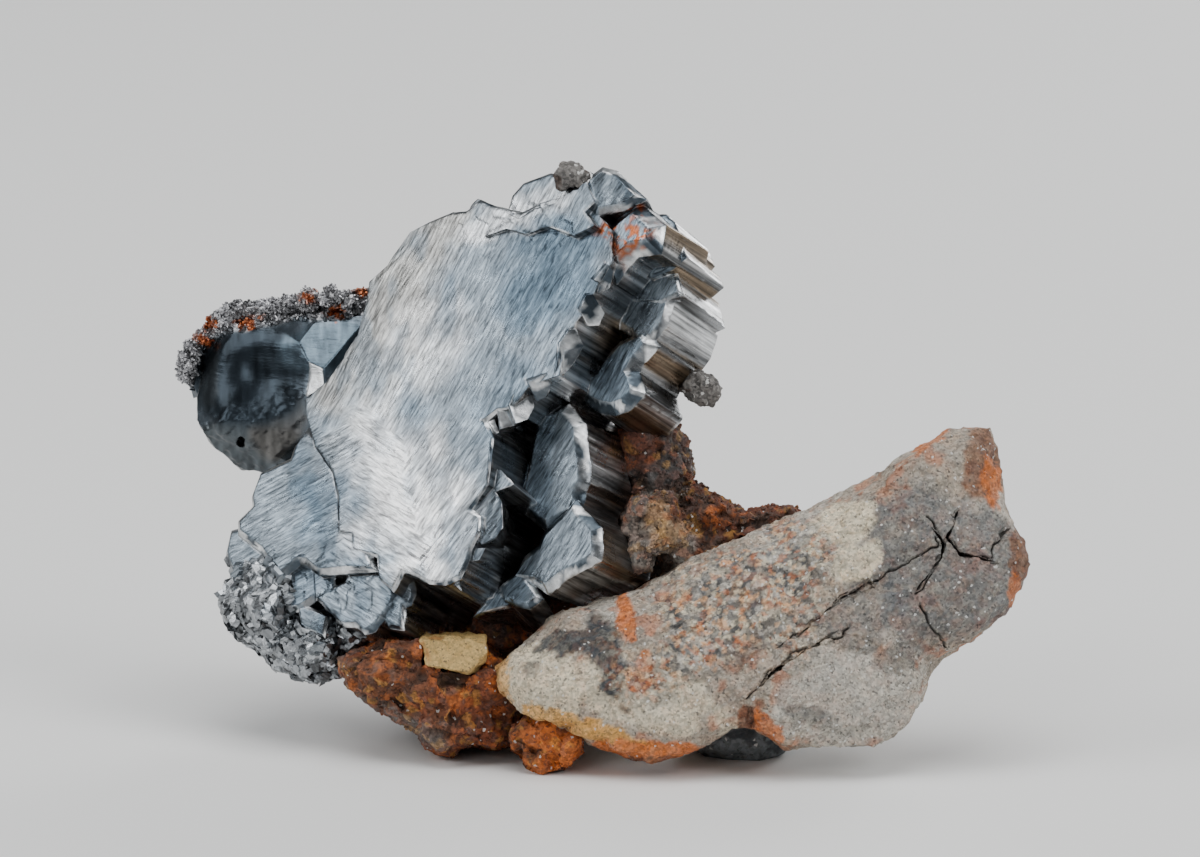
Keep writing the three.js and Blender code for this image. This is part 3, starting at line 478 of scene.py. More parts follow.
# %% Cluster mesh
BROKEN_ENDS = [((-32.8, 17.4, -23), (4.9, 4.7, 6.2)), ((-28.4, 13.6, -22), (5.8, 3.6, 6.2)),
               ((-24.0, 14.6, -20), (3.6, 2.8, 5.2))]
CLUSTER_BEVEL = 0.06
END_EDGE = 0.38
SIDE_EDGE = 0.76
HIDDEN_EDGE = 2.5
BROKEN_EDGE = 0.5
STRIA_HEIGHT = 0.07
STEP_HEIGHT = 0.05
CRYSTAL_SMOOTH = 32  # degrees; sharper edges stay hard


def broken_share(points):
    share = np.zeros(len(points))
    for middle, radii in BROKEN_ENDS:
        reach = np.linalg.norm((points - np.array(middle)) / np.array(radii), axis=1)
        share = np.maximum(share, smoothstep(1.12, 0.98, reach))
    return share


def cluster_edges(middles, normals):
    end = normals @ AXIS > END_FACE
    seen = normals[:, 2] > -0.1
    limit = np.where(end & seen, END_EDGE, np.where(seen, SIDE_EDGE, HIDDEN_EDGE))
    return np.where(broken_share(middles) > 0.5, np.minimum(limit, BROKEN_EDGE), limit)


points, triangles = refine(*solid_copy("bournonite_cluster", CLUSTER_BEVEL), cluster_edges)
end_triangles = (unit(triangle_normals(points, triangles)) @ AXIS > END_FACE).astype(float)
end_normals = vertex_normals(points, triangles, end_triangles)
side_normals = vertex_normals(points, triangles, 1 - end_triangles)
turned = in_crystal(points)
striae = STRIA_HEIGHT * fractal(turned, (0.8, 0.8, 30), 21, 2)
striae = striae + STEP_HEIGHT * np.round(noise(turned, (1.6, 1.6, 60), 22))
oblique = smoothstep(0.22, 0.4, side_normals @ AXIS)
striae = striae * (1 - 0.9 * oblique)
broken = broken_share(points)
chip = cells(points, 1.3, 31)
small_chip = cells(points, 0.6, 33)
crumble = 0.35 * fractal(points, 2.0, 32, 2) + 0.45 * (chip - 0.5) + 0.12 * (small_chip - 0.5)
end_height = (1 - broken) * feather_height(points)
side_height = (1 - broken) * striae
points = points + end_normals * end_height[:, None] + side_normals * side_height[:, None]
points = points + vertex_normals(points, triangles) * (broken * crumble)[:, None]
end_share = np.clip(np.linalg.norm(end_normals, axis=1), 0, 1)
side_share = np.clip(np.linalg.norm(side_normals, axis=1), 0, 1) * (1 - 0.6 * end_share)
cluster_arrays = (points, triangles)
print("cluster:", len(triangles), "triangles,", round(float(broken.mean()), 3), "of its vertices broken")

# %% [markdown]
# ## Steel-grey bournonite
# Bournonite is a lead-grey metal-like mineral, so its shader is metallic. End faces are steel grey
# with blue patches, a painted highlight as white sheen in the middle and a beige margin at the left.
# Sides are tarnished, with bronze bands and painted highlight bands along the striae; oblique facets
# are plain, some with a painted highlight, some with painted shade.
# Bump adds only what is finer than the mesh: hair-thin streaks on the end faces and striae on the
# sides. The same heights also darken and lighten the colour, as painted shading of the streaks.


# %% Tints of the cluster
STEEL = (0.29, 0.345, 0.395)
PAINTED_SHEEN = (0.95, 0.96, 0.97)
BEIGE = (0.46, 0.45, 0.425)
BLUE = (0.13, 0.19, 0.25)
TARNISH = (0.27, 0.28, 0.29)
PAINTED_HIGHLIGHT_BAND = (0.62, 0.63, 0.64)
PAINTED_FACET_HIGHLIGHT = (0.86, 0.88, 0.89)
PAINTED_FACET_SHADE = (0.075, 0.095, 0.115)
BRONZE = (0.25, 0.19, 0.13)
SILVER_GREY = (0.42, 0.44, 0.46)
RUST = (0.40, 0.10, 0.02)
# The white sheen patches are a painted highlight on the large face; the others are its own tints.
FACE_PATCHES = [
    (BEIGE, (-21.5, 47.0), (4.2, 13.0), -26, 0.85),
    (PAINTED_SHEEN, (-19.6, 29.5), (5.2, 6.4), 10, 0.95),
    (PAINTED_SHEEN, (-17.6, 21.6), (2.6, 4.4), 12, 0.85),
    (PAINTED_SHEEN, (-18.0, 43.0), (3.2, 6.0), -30, 0.45),
    (PAINTED_SHEEN, (-9.0, 56.5), (5.5, 1.8), 20, 0.6),
    (BLUE, (-4.5, 51.0), (5.0, 4.4), 30, 0.85),
    (BLUE, (-28.0, 28.0), (3.6, 3.0), 35, 0.75),
    (BLUE, (-9.5, 38.0), (3.0, 5.5), -30, 0.55),
]

tint = np.tile(STEEL, (len(points), 1)).astype(float)
tint = paint_patches(tint, points, FACE_PATCHES, 0.55, 0.5, 130)
tint = paint(tint, BLUE, 0.5 * smoothstep(0.1, 0.6, fractal(points, (3.0, 6.0, 6.0), 53, 3)))
sides = np.tile(TARNISH, (len(points), 1)).astype(float)
# painted highlight: bright bands along the striae of the sides
sides = paint(sides, PAINTED_HIGHLIGHT_BAND, smoothstep(0.1, 0.35, noise(turned, (1.3, 1.3, 80), 56)))
facet = cells(points, 1.8, 58)
# painted shade and painted highlight: oblique facets are painted dark or bright, cell by cell
sides = paint(sides, PAINTED_FACET_SHADE, oblique * smoothstep(0.5, 0.3, facet))
sides = paint(sides, PAINTED_FACET_HIGHLIGHT, oblique * smoothstep(0.6, 0.8, facet))
in_stacks = smoothstep(-2, 2, points[:, 0]) * (1 - oblique)
sides = paint(sides, BRONZE, in_stacks * smoothstep(0.2, 0.5, noise(turned, (1.9, 1.9, 80), 54)))
tint = tint + (sides - tint) * (side_share * (1 - broken))[:, None]
tint = paint(tint, SILVER_GREY, broken)
tint = tint * (1 + broken * (1.5 * small_chip - 0.85))[:, None]
dot = cells(points, 0.5, 57)
rusty = blob(points, (2.8, 54.4), (2.2, 2.6), 0, 0.3, 0.8, 55) * smoothstep(0.6, 0.7, dot)
tint = paint(tint, RUST, 0.9 * rusty)
plain = 0.75 * oblique * side_share
cluster_values = {"tint": tint, "side": side_share, "plain": plain, "cover": broken}
cluster_values["zones"] = feather_zones(points)


# %% Material of the cluster
HAIR_DEPTH = 0.07
# degrees in the front view: steep streaks, right barbs, left barbs, fan
BARB_ANGLES = (math.degrees(UPPER_ANGLE), 56.5, 149.5, 28.0)


def streak_axes(angle):
    """Rows across and along a streak that is seen at an angle on the large face, and the axis."""
    dx, dy = math.cos(math.radians(angle)), math.sin(math.radians(angle))
    along = unit(np.array([dx, dy, -(dx * AXIS[0] + dy * AXIS[1]) / AXIS[2]]))
    return (np.stack([np.cross(along, AXIS), along, AXIS]) @ FRONT_AXES).tolist()


def feather_nodes(tree):
    zones = add_node(tree, "ShaderNodeSeparateColor", {0: value_named(tree, "zones", True)})
    places = [object_coordinates(tree, streak_axes(angle), (3.6, 0.5, 1.0)) for angle in BARB_ANGLES]
    fields = [noise_node(tree, place, 1.0, 5.0, 0.65, 0.7) for place in places]
    height = fields[0]
    for share, field in zip(zones.outputs[:3], fields[1:]):
        height = add_node(tree, "ShaderNodeMix", {0: share, 2: height, 3: field}).outputs[0]
    return height


def bournonite_material():
    material, tree, shader = new_material("steel_grey_bournonite")
    side = value_named(tree, "side")
    axes = (CRYSTAL_AXES @ FRONT_AXES).tolist()
    striae = noise_node(tree, object_coordinates(tree, axes, (2.2, 2.2, 0.05)), 1.0, 3.0)
    feathers = feather_nodes(tree)
    height = add_node(tree, "ShaderNodeMix", {0: side, 2: feathers, 3: striae}).outputs[0]
    plain = value_named(tree, "plain")
    height = add_node(tree, "ShaderNodeMix", {0: plain, 2: height, 3: 0.5}).outputs[0]
    # painted shading: the streak heights darken and lighten the colour
    shade = ramp(tree, height, 0.36, 0.64, 0.32, 1.35)
    patchy = ramp(tree, noise_node(tree, object_coordinates(tree), 0.22, 5.0, 0.6), 0.3, 0.7, 0.68, 1.15)
    color = mix_colors(tree, 1.0, value_named(tree, "tint", True), shade, "MULTIPLY")
    color = mix_colors(tree, 1.0, color, patchy, "MULTIPLY")
    polish = ramp(tree, noise_node(tree, object_coordinates(tree), 0.35, 4.0), 0.3, 0.7, 0.22, 0.38)
    relief = bump(tree, height, HAIR_DEPTH)
    connect(tree, shader, Base_Color=color, Metallic=1.0, Roughness=polish, Normal=relief)
    return material


bournonite = bournonite_material()
cluster = make_piece("bournonite_cluster_surface", *cluster_arrays, bournonite, cluster_values,
                     CRYSTAL_SMOOTH, "bournonite_cluster", "bournonite")

# %% [markdown]
# ## The dark crystal
# The crystal at the left is the same mineral, but glassy and navy-black. Its front broke in a
# shell-shaped hollow, which leaves faint ripples, and its top is crowned by small sparkling
# crystals on a crumbly band. The hollow is painted near black as painted shade, and two facets
# carry a painted white reflection.

# %% Dark crystal mesh and tints
DARK_BEVEL = 0.05
DARK_SMOOTH = 30
SHELL_ROUNDS = 220
HOLLOW_CENTRE = np.array([-27.5, 44.5, -25.0])
CROWN_EDGE = [(-41.4, 39.2), (-40.4, 43.2), (-37.6, 45.4), (-32.0, 45.9), (-24.4, 46.6)]
NAVY = (0.12, 0.145, 0.17)
PAINTED_HOLLOW_SHADE = (0.030, 0.040, 0.050)
BLUE_GREY = (0.095, 0.130, 0.160)
PAINTED_FACET_REFLECTION = (0.85, 0.87, 0.88)
TEAL_GREY = (0.078, 0.090, 0.098)
CROWN_GREY = np.array([0.30, 0.30, 0.31])
BROWN_GREY = (0.125, 0.108, 0.092)
DARK_PATCHES = [
    (TEAL_GREY, (-36.5, 33.4), (6.4, 3.4), 10, 1.0),
    (BROWN_GREY, (-32.6, 35.2), (2.6, 3.4), -40, 0.5),
    # painted shade: the shell-shaped hollow is painted near black
    (PAINTED_HOLLOW_SHADE, (-35.4, 40.4), (5.6, 5.0), 0, 1.0),
    (TEAL_GREY, (-39.6, 40.8), (1.0, 3.6), 0, 0.6),
    (BLUE_GREY, (-27.6, 43.4), (4.6, 2.8), 12, 1.0),
]
PAINTED_REFLECTION_FACING = unit(np.array([-0.16, 0.06, 0.98]))  # the way that the two bright facets face
CROWN_RUST = [((-39.5, 45.7), 0.7), ((-40.2, 44.0), 0.7), ((-35.6, 45.9), 1.0), ((-29.4, 48.4), 0.7),
              ((-26.6, 47.0), 0.8), ((-24.0, 49.4), 0.9)]


def height_over(line, points):
    """How far points lie over a polyline in the front view."""
    xs, ys = zip(*line)
    return points[:, 1] - np.interp(points[:, 0], xs, ys)


def dark_edges(middles, normals):
    over = height_over(CROWN_EDGE, middles) > -0.8
    return np.where(normals[:, 2] > -0.1, np.where(over, 0.26, 0.3), 1.0)


points, triangles = refine(*solid_copy("dark_crystal", DARK_BEVEL), dark_edges)
shell = blob(points, (-35.4, 40.6), (5.4, 4.6), 0, 0.15, 0.0) * smoothstep(-30, -29, points[:, 2])
points = smooth(points, triangles, shell, SHELL_ROUNDS)
crown = smoothstep(-0.5, 0.5, height_over(CROWN_EDGE, points) + 0.5 * fractal(points, 2, 61, 2))
below = blob(points, (-35.5, 34.0), (6.0, 3.6), 8, 0.4, 0.4, 62)
reach = np.linalg.norm(points - HOLLOW_CENTRE, axis=1)
ripples = 0.012 * np.sin(reach * 2.2 + 2.5 * fractal(points, 5, 63, 2))
rays = 0.02 * fractal(points, (2.4, 2.4, 6), 64, 3)
grain = cells(points, 0.7, 65)
rough_height = 0.20 * fractal(points, 1.2, 66, 4) + 0.30 * (grain - 0.5)
x, y, z = points.T
slanted = np.stack([x - y, 0.2 * (x + y), 0.3 * z], axis=1)
lower_relief = 0.22 * fractal(points, 1.4, 67, 3) + 0.14 * fractal(slanted, 0.9, 59, 2)
height = (1 - crown) * (ripples + rays + below * lower_relief) + crown * rough_height
points = points + vertex_normals(points, triangles) * height[:, None]
tint = np.tile(NAVY, (len(points), 1)).astype(float)
tint = paint_patches(tint, points, DARK_PATCHES, 0.2, 0.2, 140)
# painted reflection: facets that face this way, inside the patch, are painted white
facing = smoothstep(0.96, 0.985, vertex_normals(points, triangles) @ PAINTED_REFLECTION_FACING)
bright = facing * blob(points, (-28.6, 40.2), (3.4, 3.0), 0, 0.1, 0.1, 148)
tint = paint(tint, PAINTED_FACET_REFLECTION, 0.95 * bright)
tint = tint * (1 + 0.45 * (1 - crown) * fractal(points, (0.6, 2.4, 2.4), 69, 3))[:, None]
tint = paint(tint, CROWN_GREY * (0.4 + 1.2 * grain[:, None]), crown)
for spot, size in CROWN_RUST:
    tint = paint(tint, RUST, 0.9 * blob(points, spot, (size, 0.7 * size), 0, 0.3, 0.9, 68))
dark_values = {"tint": tint, "rough": np.clip(crown + 0.6 * below, 0, 1), "cover": crown}


# %% Material of the dark crystal
def dark_material():
    material, tree, shader = new_material("navy_black_bournonite")
    rough = value_named(tree, "rough")
    streaky = noise_node(tree, object_coordinates(tree, None, (0.5, 0.5, 2.0)), 1.4, 4.0, 0.6)
    polish = ramp(tree, rough, 0.0, 1.0, 0.24, 0.36)
    connect(tree, shader, Base_Color=value_named(tree, "tint", True), Metallic=0.9, Roughness=polish,
            Normal=bump(tree, streaky, 0.03))
    return material


dark_bournonite = dark_material()
dark_crystal = make_piece("dark_crystal_surface", points, triangles, dark_bournonite, dark_values,
                          DARK_SMOOTH, "dark_crystal", "dark_bournonite")

# %% [markdown]
# ## The sandstone shard
# The shard is fine sandstone: light and dark grains a third of a millimetre across, stained by rust
# along its rims and cracks, with a cream patch, a dark patch near its nose and a slate-blue right
# end. The stains are ragged ovals given in the front view. They colour the whole thickness, so that
# the back carries them too.

# %% Shard mesh and tints
ROCK_SMOOTH = 60
CRACK_DEPTH = 0.45
PAINTED_CRACK_SHADE = (0.03, 0.025, 0.02)
SAND = (0.36, 0.31, 0.25)
CREAM = (0.76, 0.67, 0.49)
CHARCOAL = (0.032, 0.038, 0.045)
SLATE_BLUE = (0.090, 0.105, 0.118)
ORANGE = (0.60, 0.15, 0.02)
OCHRE = (0.72, 0.36, 0.06)
BROWN = (0.17, 0.06, 0.025)
PALE = (0.52, 0.49, 0.43)
TERRACOTTA = (0.46, 0.13, 0.04)
PEACH = (0.70, 0.38, 0.18)
SHARD_STAINS = [
    (SLATE_BLUE, (34.5, 21.5), (9.0, 8.0), 40, 0.7),
    (SLATE_BLUE, (27.0, 17.0), (4.0, 3.0), 30, 0.5),
    (PALE, (23.5, 8.0), (8.0, 4.4), 10, 0.75),
    (CREAM, (-6.2, 9.8), (4.6, 4.0), -20, 0.8),
    (CREAM, (4.0, 8.0), (9.0, 3.0), -14, 0.7),
    (CREAM, (24.4, 25.6), (3.4, 2.1), 20, 0.95),
    (CREAM, (25.6, 21.8), (2.5, 1.8), 30, 0.9),
    (CHARCOAL, (-2.6, 13.9), (4.6, 1.2), 12, 0.95),
    (CHARCOAL, (0.7, 12.6), (1.5, 4.6), 12, 0.95),
    (CHARCOAL, (-6.8, 11.2), (0.9, 0.8), 0, 0.6),
    (CHARCOAL, (29.0, 12.0), (2.2, 1.3), -20, 0.5),
    (CHARCOAL, (20.6, 6.6), (2.4, 1.0), -10, 0.5),
    (ORANGE, (2.6, 16.2), (0.9, 2.4), 8, 0.95),
    (ORANGE, (4.2, 10.8), (1.2, 2.4), -20, 0.95),
    (ORANGE, (10.0, 15.2), (1.0, 0.8), 0, 0.8),
    (ORANGE, (16.2, 19.6), (1.0, 0.7), 0, 0.8),
    (BROWN, (14.0, 13.2), (1.4, 3.0), -30, 0.6),
    (OCHRE, (-1.0, 5.2), (8.0, 1.0), -18, 0.85),
    (OCHRE, (-9.8, 10.4), (0.8, 3.0), 0, 0.7),
    (ORANGE, (5.0, 2.9), (6.5, 1.2), -4, 0.95),
    (BROWN, (5.5, 1.8), (5.0, 0.7), 0, 0.8),
    (BROWN, (15.0, 6.2), (1.3, 2.6), -30, 0.95),
    (ORANGE, (16.6, 5.4), (1.0, 1.8), 30, 0.85),
    (BROWN, (38.4, 31.0), (2.2, 3.6), -10, 0.85),
    (ORANGE, (39.2, 29.8), (1.0, 2.6), 0, 0.8),
    (ORANGE, (33.4, 34.4), (2.6, 0.8), 40, 0.75),
    (BROWN, (42.2, 22.8), (1.2, 3.2), 0, 0.85),
    (ORANGE, (41.4, 19.0), (0.8, 1.8), 0, 0.75),
]
SHARD_CRACKS = [
    [(15.0, 8.3), (17.0, 10.7), (19.3, 12.3), (20.4, 13.0), (23.0, 14.6), (24.7, 15.5)],
    [(18.0, 13.2), (20.0, 14.7), (21.3, 16.0), (24.0, 18.0), (27.0, 20.0)],
    [(32.3, 26.3), (34.3, 23.7), (34.0, 22.3), (31.3, 18.8)],
    [(35.8, 27.0), (34.6, 24.2), (36.0, 22.6), (40.0, 21.7)],
    [(31.7, 17.3), (33.0, 15.2), (34.7, 13.3)],
    [(34.6, 24.2), (32.4, 22.6), (30.2, 21.4), (27.0, 20.0)],
    [(39.0, 22.0), (39.6, 24.0), (41.0, 25.4)],
]


def distance_to_line(points, line):
    best = np.full(len(points), 1e3)
    for start, end in zip(line, line[1:]):
        start, step = np.array(start), np.array(end) - np.array(start)
        share = np.clip(((points[:, :2] - start) @ step) / (step @ step), 0, 1)
        best = np.minimum(best, np.linalg.norm(points[:, :2] - start - share[:, None] * step, axis=1))
    return best


def shard_edges(middles, normals):
    crack = np.min([distance_to_line(middles, line) for line in SHARD_CRACKS], axis=0)
    front = np.where(crack < 0.5, 0.2, 0.36)
    return np.where(normals[:, 2] > -0.2, front, 1.0)


points, triangles = refine(*solid_copy("sandstone_shard", 0.0), shard_edges)
normals = vertex_normals(points, triangles)
grain = cells(points, 0.42, 71)
ledges = np.round(1.6 * fractal(points, (5.0, 4.0, 6.0), 72, 3)) * 0.16
height = 0.30 * fractal(points, 3.2, 73, 4) + 0.11 * (grain - 0.5)
height = height + 0.12 * fractal(points, 0.8, 74, 2) + ledges
swayed = points + 0.5 * np.stack([fractal(points, 1.6, 75 + k, 2) for k in range(3)], axis=1)
crack = np.zeros(len(points))
for line in SHARD_CRACKS:
    crack = np.maximum(crack, smoothstep(0.14, 0.03, distance_to_line(swayed, line)))
front = smoothstep(0.0, 0.4, normals[:, 2])
points = points + normals * (height - CRACK_DEPTH * crack * front)[:, None]
SPECKLES = np.array([CHARCOAL, SLATE_BLUE, PEACH, SAND, PALE, CREAM, TERRACOTTA, CHARCOAL])
tint = np.tile(SAND, (len(points), 1)).astype(float)
tint = paint(tint, PALE, 0.7 * smoothstep(0.0, 0.5, fractal(points, 6, 80, 3)))
tint = paint(tint, TERRACOTTA, 0.55 * smoothstep(0.3, 0.7, fractal(points, 2.0, 81, 4)))
tint = paint_patches(tint, points, SHARD_STAINS, 0.15, 0.4, 82)
speckled = 0.08 + 0.5 * blob(points, (13.5, 17.0), (10.0, 5.5), 35, 0.4, 0.4, 119)
for size, seed in ((1.0, 120), (0.5, 121)):
    pick = cells(points, size, seed)
    tint = tint + speckled[:, None] * (pick_color(SPECKLES, pick) - tint)
# painted shade: the cracks are painted near black on the front
tint = paint(tint, PAINTED_CRACK_SHADE, 0.9 * crack * front)
shard_values = {"tint": tint, "cover": front * np.maximum(
    blob(points, (24.0, 10.0), (9.0, 6.0), 20, 0.5, 0.5, 122), 0.4 * speckled)}
shard_arrays = (points, triangles)
print("shard:", len(triangles), "triangles")


# %% Material for granular rock
def rock_material(name, grain_size, contrast, sparkle, roughness=0.85):
    """Tint broken up by light and dark grains; a few pale grains carry a painted glint, near white, and
    are smooth.
    """
    material, tree, shader = new_material(name)
    place = object_coordinates(tree)
    grains = add_node(tree, "ShaderNodeTexVoronoi", {"Vector": place, "Scale": 1 / grain_size})
    pick = add_node(tree, "ShaderNodeSeparateColor", {0: grains.outputs["Color"]})
    shade = ramp(tree, pick.outputs[0], 0.0, 1.0, 1 - contrast, 1 + contrast)
    color = mix_colors(tree, 1.0, value_named(tree, "tint", True), shade, "MULTIPLY")
    pepper = math_node(tree, "GREATER_THAN", pick.outputs[1], 0.94)
    color = mix_colors(tree, math_node(tree, "MULTIPLY", pepper, 0.55), color, (0.035, 0.035, 0.038, 1))
    # painted glint: a few pale grains are painted near white
    glint = math_node(tree, "GREATER_THAN", pick.outputs[2], 1 - sparkle)
    color = mix_colors(tree, math_node(tree, "MULTIPLY", glint, 0.7), color, (0.80, 0.79, 0.76, 1))
    polish = ramp(tree, glint, 0.0, 1.0, roughness, 0.25)
    fine = noise_node(tree, place, 2.0 / grain_size, 3.0)
    both = math_node(tree, "ADD", fine, math_node(tree, "MULTIPLY", pick.outputs[0], 0.5))
    connect(tree, shader, Base_Color=color, Roughness=polish, Normal=bump(tree, both, 0.12))
    return material


sandstone = rock_material("grained_sandstone", 0.22, 0.35, 0.012)
shard = make_piece("sandstone_shard_surface", *shard_arrays, sandstone, shard_values, ROCK_SMOOTH,
                   "sandstone_shard", "sandstone")

# %% [markdown]
# ## The rusty matrix
# Limonite is iron rust turned to rock: brown, rust-red and orange, crumbly and full of small
# hollows. The two lumps between the crystals and the shard are greyer and grained. One mesh carries
# all of it, and its tint follows the place.

# %% Matrix mesh and tints
RUST_RED = (0.20, 0.055, 0.022)
DARK_BROWN = (0.055, 0.032, 0.022)
GREY = (0.15, 0.14, 0.13)
DARK_GREY = (0.075, 0.075, 0.075)
PALE_GREY = (0.27, 0.25, 0.22)
RED_BROWN = (0.085, 0.030, 0.018)
MATRIX_STAINS = [
    (DARK_GREY, (5.6, 31.5), (5.0, 5.4), 0, 0.95),
    (RUST_RED, (3.4, 33.4), (2.2, 2.4), 0, 0.6),
    (PALE_GREY, (5.2, 25.0), (4.4, 5.2), 0, 0.95),
    (OCHRE, (7.0, 25.6), (2.0, 2.4), 0, 0.35),
    (RED_BROWN, (15.0, 26.0), (9.0, 3.0), -14, 0.9),
    (ORANGE, (12.0, 26.2), (1.4, 1.0), 0, 0.7),
    (ORANGE, (-4.8, 2.8), (4.2, 3.4), 0, 0.85),
    (GREY, (-18.4, 5.0), (4.4, 0.9), -30, 0.8),
    (RUST_RED, (-11.4, 5.6), (2.6, 2.0), 0, 0.8),
]


def matrix_edges(middles, normals):
    return np.where((normals[:, 2] > -0.1) & (middles[:, 2] > -24), 0.38, 0.7)


points, triangles = refine(*solid_copy("limonite_matrix", 0.0), matrix_edges)
normals = vertex_normals(points, triangles)
chip = cells(points, 1.7, 91)
crumb = cells(points, 0.7, 90)
hollow = smoothstep(0.15, 0.6, fractal(points, 2.0, 92, 3))
height = 0.5 * fractal(points, 3.4, 93, 4) + 0.5 * (chip - 0.5) - 0.6 * hollow + 0.3 * (crumb - 0.5)
height = height + 1.3 * blob(points, (2.4, 35.0), (2.6, 2.4), 0, 0.4, 0.2, 89)
low = to_frame(points)[:, 2] < 0.4 * MILLIMETRE
on_floor = low * smoothstep(-0.8, -0.95, normals @ FRONT_AXES[:, 2])
points = points + normals * (height * (1 - on_floor))[:, None]
MATRIX_SPECKLED = 0.28
MATRIX_SPECKLES = np.array([DARK_BROWN, GREY, RUST_RED, BROWN, ORANGE, OCHRE, DARK_BROWN, RUST_RED])
tint = np.tile(BROWN, (len(points), 1)).astype(float)
tint = paint(tint, RUST_RED, smoothstep(-0.1, 0.4, fractal(points, 4.0, 95, 3)))
tint = paint(tint, ORANGE, 0.7 * smoothstep(0.3, 0.6, fractal(points, 2.4, 96, 4)))
tint = paint(tint, GREY, 0.7 * smoothstep(0.3, 0.6, fractal(points, 5.0, 98, 3)))
near = smoothstep(-38, -33, points[:, 2])
tint = paint_patches(tint, points, MATRIX_STAINS, 0.25, 0.5, 99, near)
tint = tint + MATRIX_SPECKLED * (pick_color(MATRIX_SPECKLES, crumb) - tint)
# painted shade: the hollows are painted dark brown
tint = paint(tint, DARK_BROWN, 0.85 * hollow)
over_floor = smoothstep(1.0, 2.0, to_frame(points)[:, 2] / MILLIMETRE)
matrix_values = {"tint": tint, "cover": near * over_floor * (0.35 + smoothstep(20, 23, points[:, 1]))}
matrix_arrays = (points, triangles)
limonite = rock_material("rusty_limonite", 0.25, 0.45, 0.006, 0.8)
matrix = make_piece("limonite_matrix_surface", *matrix_arrays, limonite, matrix_values, ROCK_SMOOTH,
                    "limonite_matrix", "limonite")

# %% [markdown]
# ## Small bits
# An ochre block of siderite sits under the large crystal, a slaty bit under the shard's notch, and
# two grey nubs cling to the crystals. Each is a refined copy of its solid with its own size of
# roughness.

# %% Block, slate and nubs
SIDERITE = (0.62, 0.42, 0.16)
HONEY = (0.42, 0.19, 0.05)
SLATE = (0.17, 0.19, 0.20)
NUB_GREY = (0.17, 0.16, 0.15)


def small_bit(node, slot, color, stain, edge, amount, size, seed, material):
    def same_edges(middles, normals):
        return np.full(len(middles), edge)

    points, triangles = refine(*solid_copy(node, 0.0), same_edges)
    normals = vertex_normals(points, triangles)
    height = amount * fractal(points, size, seed, 4)
    flat = to_frame(points)[:, 2] < 0.2 * MILLIMETRE
    points = points + normals * np.where(flat, 0, height)[:, None]
    tint = np.tile(color, (len(points), 1)).astype(float)
    tint = paint(tint, stain, 0.8 * smoothstep(0.2, 0.6, fractal(points, 1.5, seed + 1, 3)))
    make_piece(node + "_surface", points, triangles, material, {"tint": tint}, ROCK_SMOOTH, node, slot)


siderite = rock_material("ochre_siderite", 0.18, 0.25, 0.002, 0.55)
slate = rock_material("blue_grey_slate", 0.3, 0.25, 0.004, 0.7)
grey_matrix = rock_material("grey_grained_matrix", 0.3, 0.5, 0.05)
small_bit("siderite_block", "siderite", SIDERITE, HONEY, 0.28, 0.3, 1.1, 111, siderite)
small_bit("slate_foot", "slate", SLATE, CHARCOAL, 0.3, 0.25, 2.0, 113, slate)
small_bit("matrix_nub_top", "grey_matrix", NUB_GREY, DARK_BROWN, 0.14, 0.35, 0.9, 115, grey_matrix)
small_bit("matrix_nub_side", "grey_matrix", NUB_GREY, DARK_BROWN, 0.14, 0.35, 0.9, 117, grey_matrix)

# %% [markdown]
# ## Crystals, plates and grit
# What repeats is scattered by one Geometry Nodes tree: points on the faces of a finished piece, as
# dense as its cover value says, carry a small solid of random size and tilt. A six-sided prism
# serves as a small crystal or, pressed flat, as a broken plate; a coarse ball serves as a crumb.
# The points keep the tint of the face they sit on, so the crumbs match their ground. The result
# becomes a plain mesh.


# %% The scattering tree
def scatter_tree(prism):
    tree = bpy.data.node_groups.new("scattered_bits", "GeometryNodeTree")
    for label, kind in (("Geometry", "Geometry"), ("Density", "Float"), ("Smallest", "Vector"),
                        ("Largest", "Vector"), ("Tilt", "Vector"), ("Seed", "Int"),
                        ("Finish", "Material")):
        tree.interface.new_socket(label, in_out="INPUT", socket_type="NodeSocket" + kind)
    tree.interface.new_socket("Geometry", in_out="OUTPUT", socket_type="NodeSocketGeometry")
    given = add_node(tree, "NodeGroupInput").outputs
    cover = add_node(tree, "GeometryNodeInputNamedAttribute", {"Name": "cover"}).outputs[0]
    density = math_node(tree, "MULTIPLY", cover, given["Density"])
    spread = add_node(tree, "GeometryNodeDistributePointsOnFaces", {
        "Mesh": given["Geometry"], "Density": density, "Seed": given["Seed"]})
    opposite = add_node(tree, "ShaderNodeVectorMath", {0: given["Tilt"], "Scale": -1.0},
                        operation="SCALE")
    back = opposite.outputs[0]
    lean = random_vector(tree, back, given["Tilt"], given["Seed"], 1)
    turn = add_node(tree, "FunctionNodeEulerToRotation", {0: lean}).outputs[0]
    turned = add_node(tree, "FunctionNodeRotateRotation", {0: spread.outputs["Rotation"], 1: turn},
                      rotation_space="LOCAL").outputs[0]
    size = random_vector(tree, given["Smallest"], given["Largest"], given["Seed"], 2)
    if prism:
        bit = add_node(tree, "GeometryNodeMeshCone", {
            "Vertices": 6, "Radius Top": 0.3, "Radius Bottom": 0.5, "Depth": 1.0})
    else:
        bit = add_node(tree, "GeometryNodeMeshIcoSphere", {"Radius": 0.5, "Subdivisions": 1})
    placed = add_node(tree, "GeometryNodeInstanceOnPoints", {
        "Points": spread.outputs["Points"], "Instance": bit.outputs["Mesh"],
        "Rotation": turned, "Scale": size})
    real = add_node(tree, "GeometryNodeRealizeInstances", {0: placed.outputs[0]})
    finish = add_node(tree, "GeometryNodeSetMaterial", {0: real.outputs[0], "Material": given["Finish"]})
    add_node(tree, "NodeGroupOutput", {0: finish.outputs[0]})
    return tree


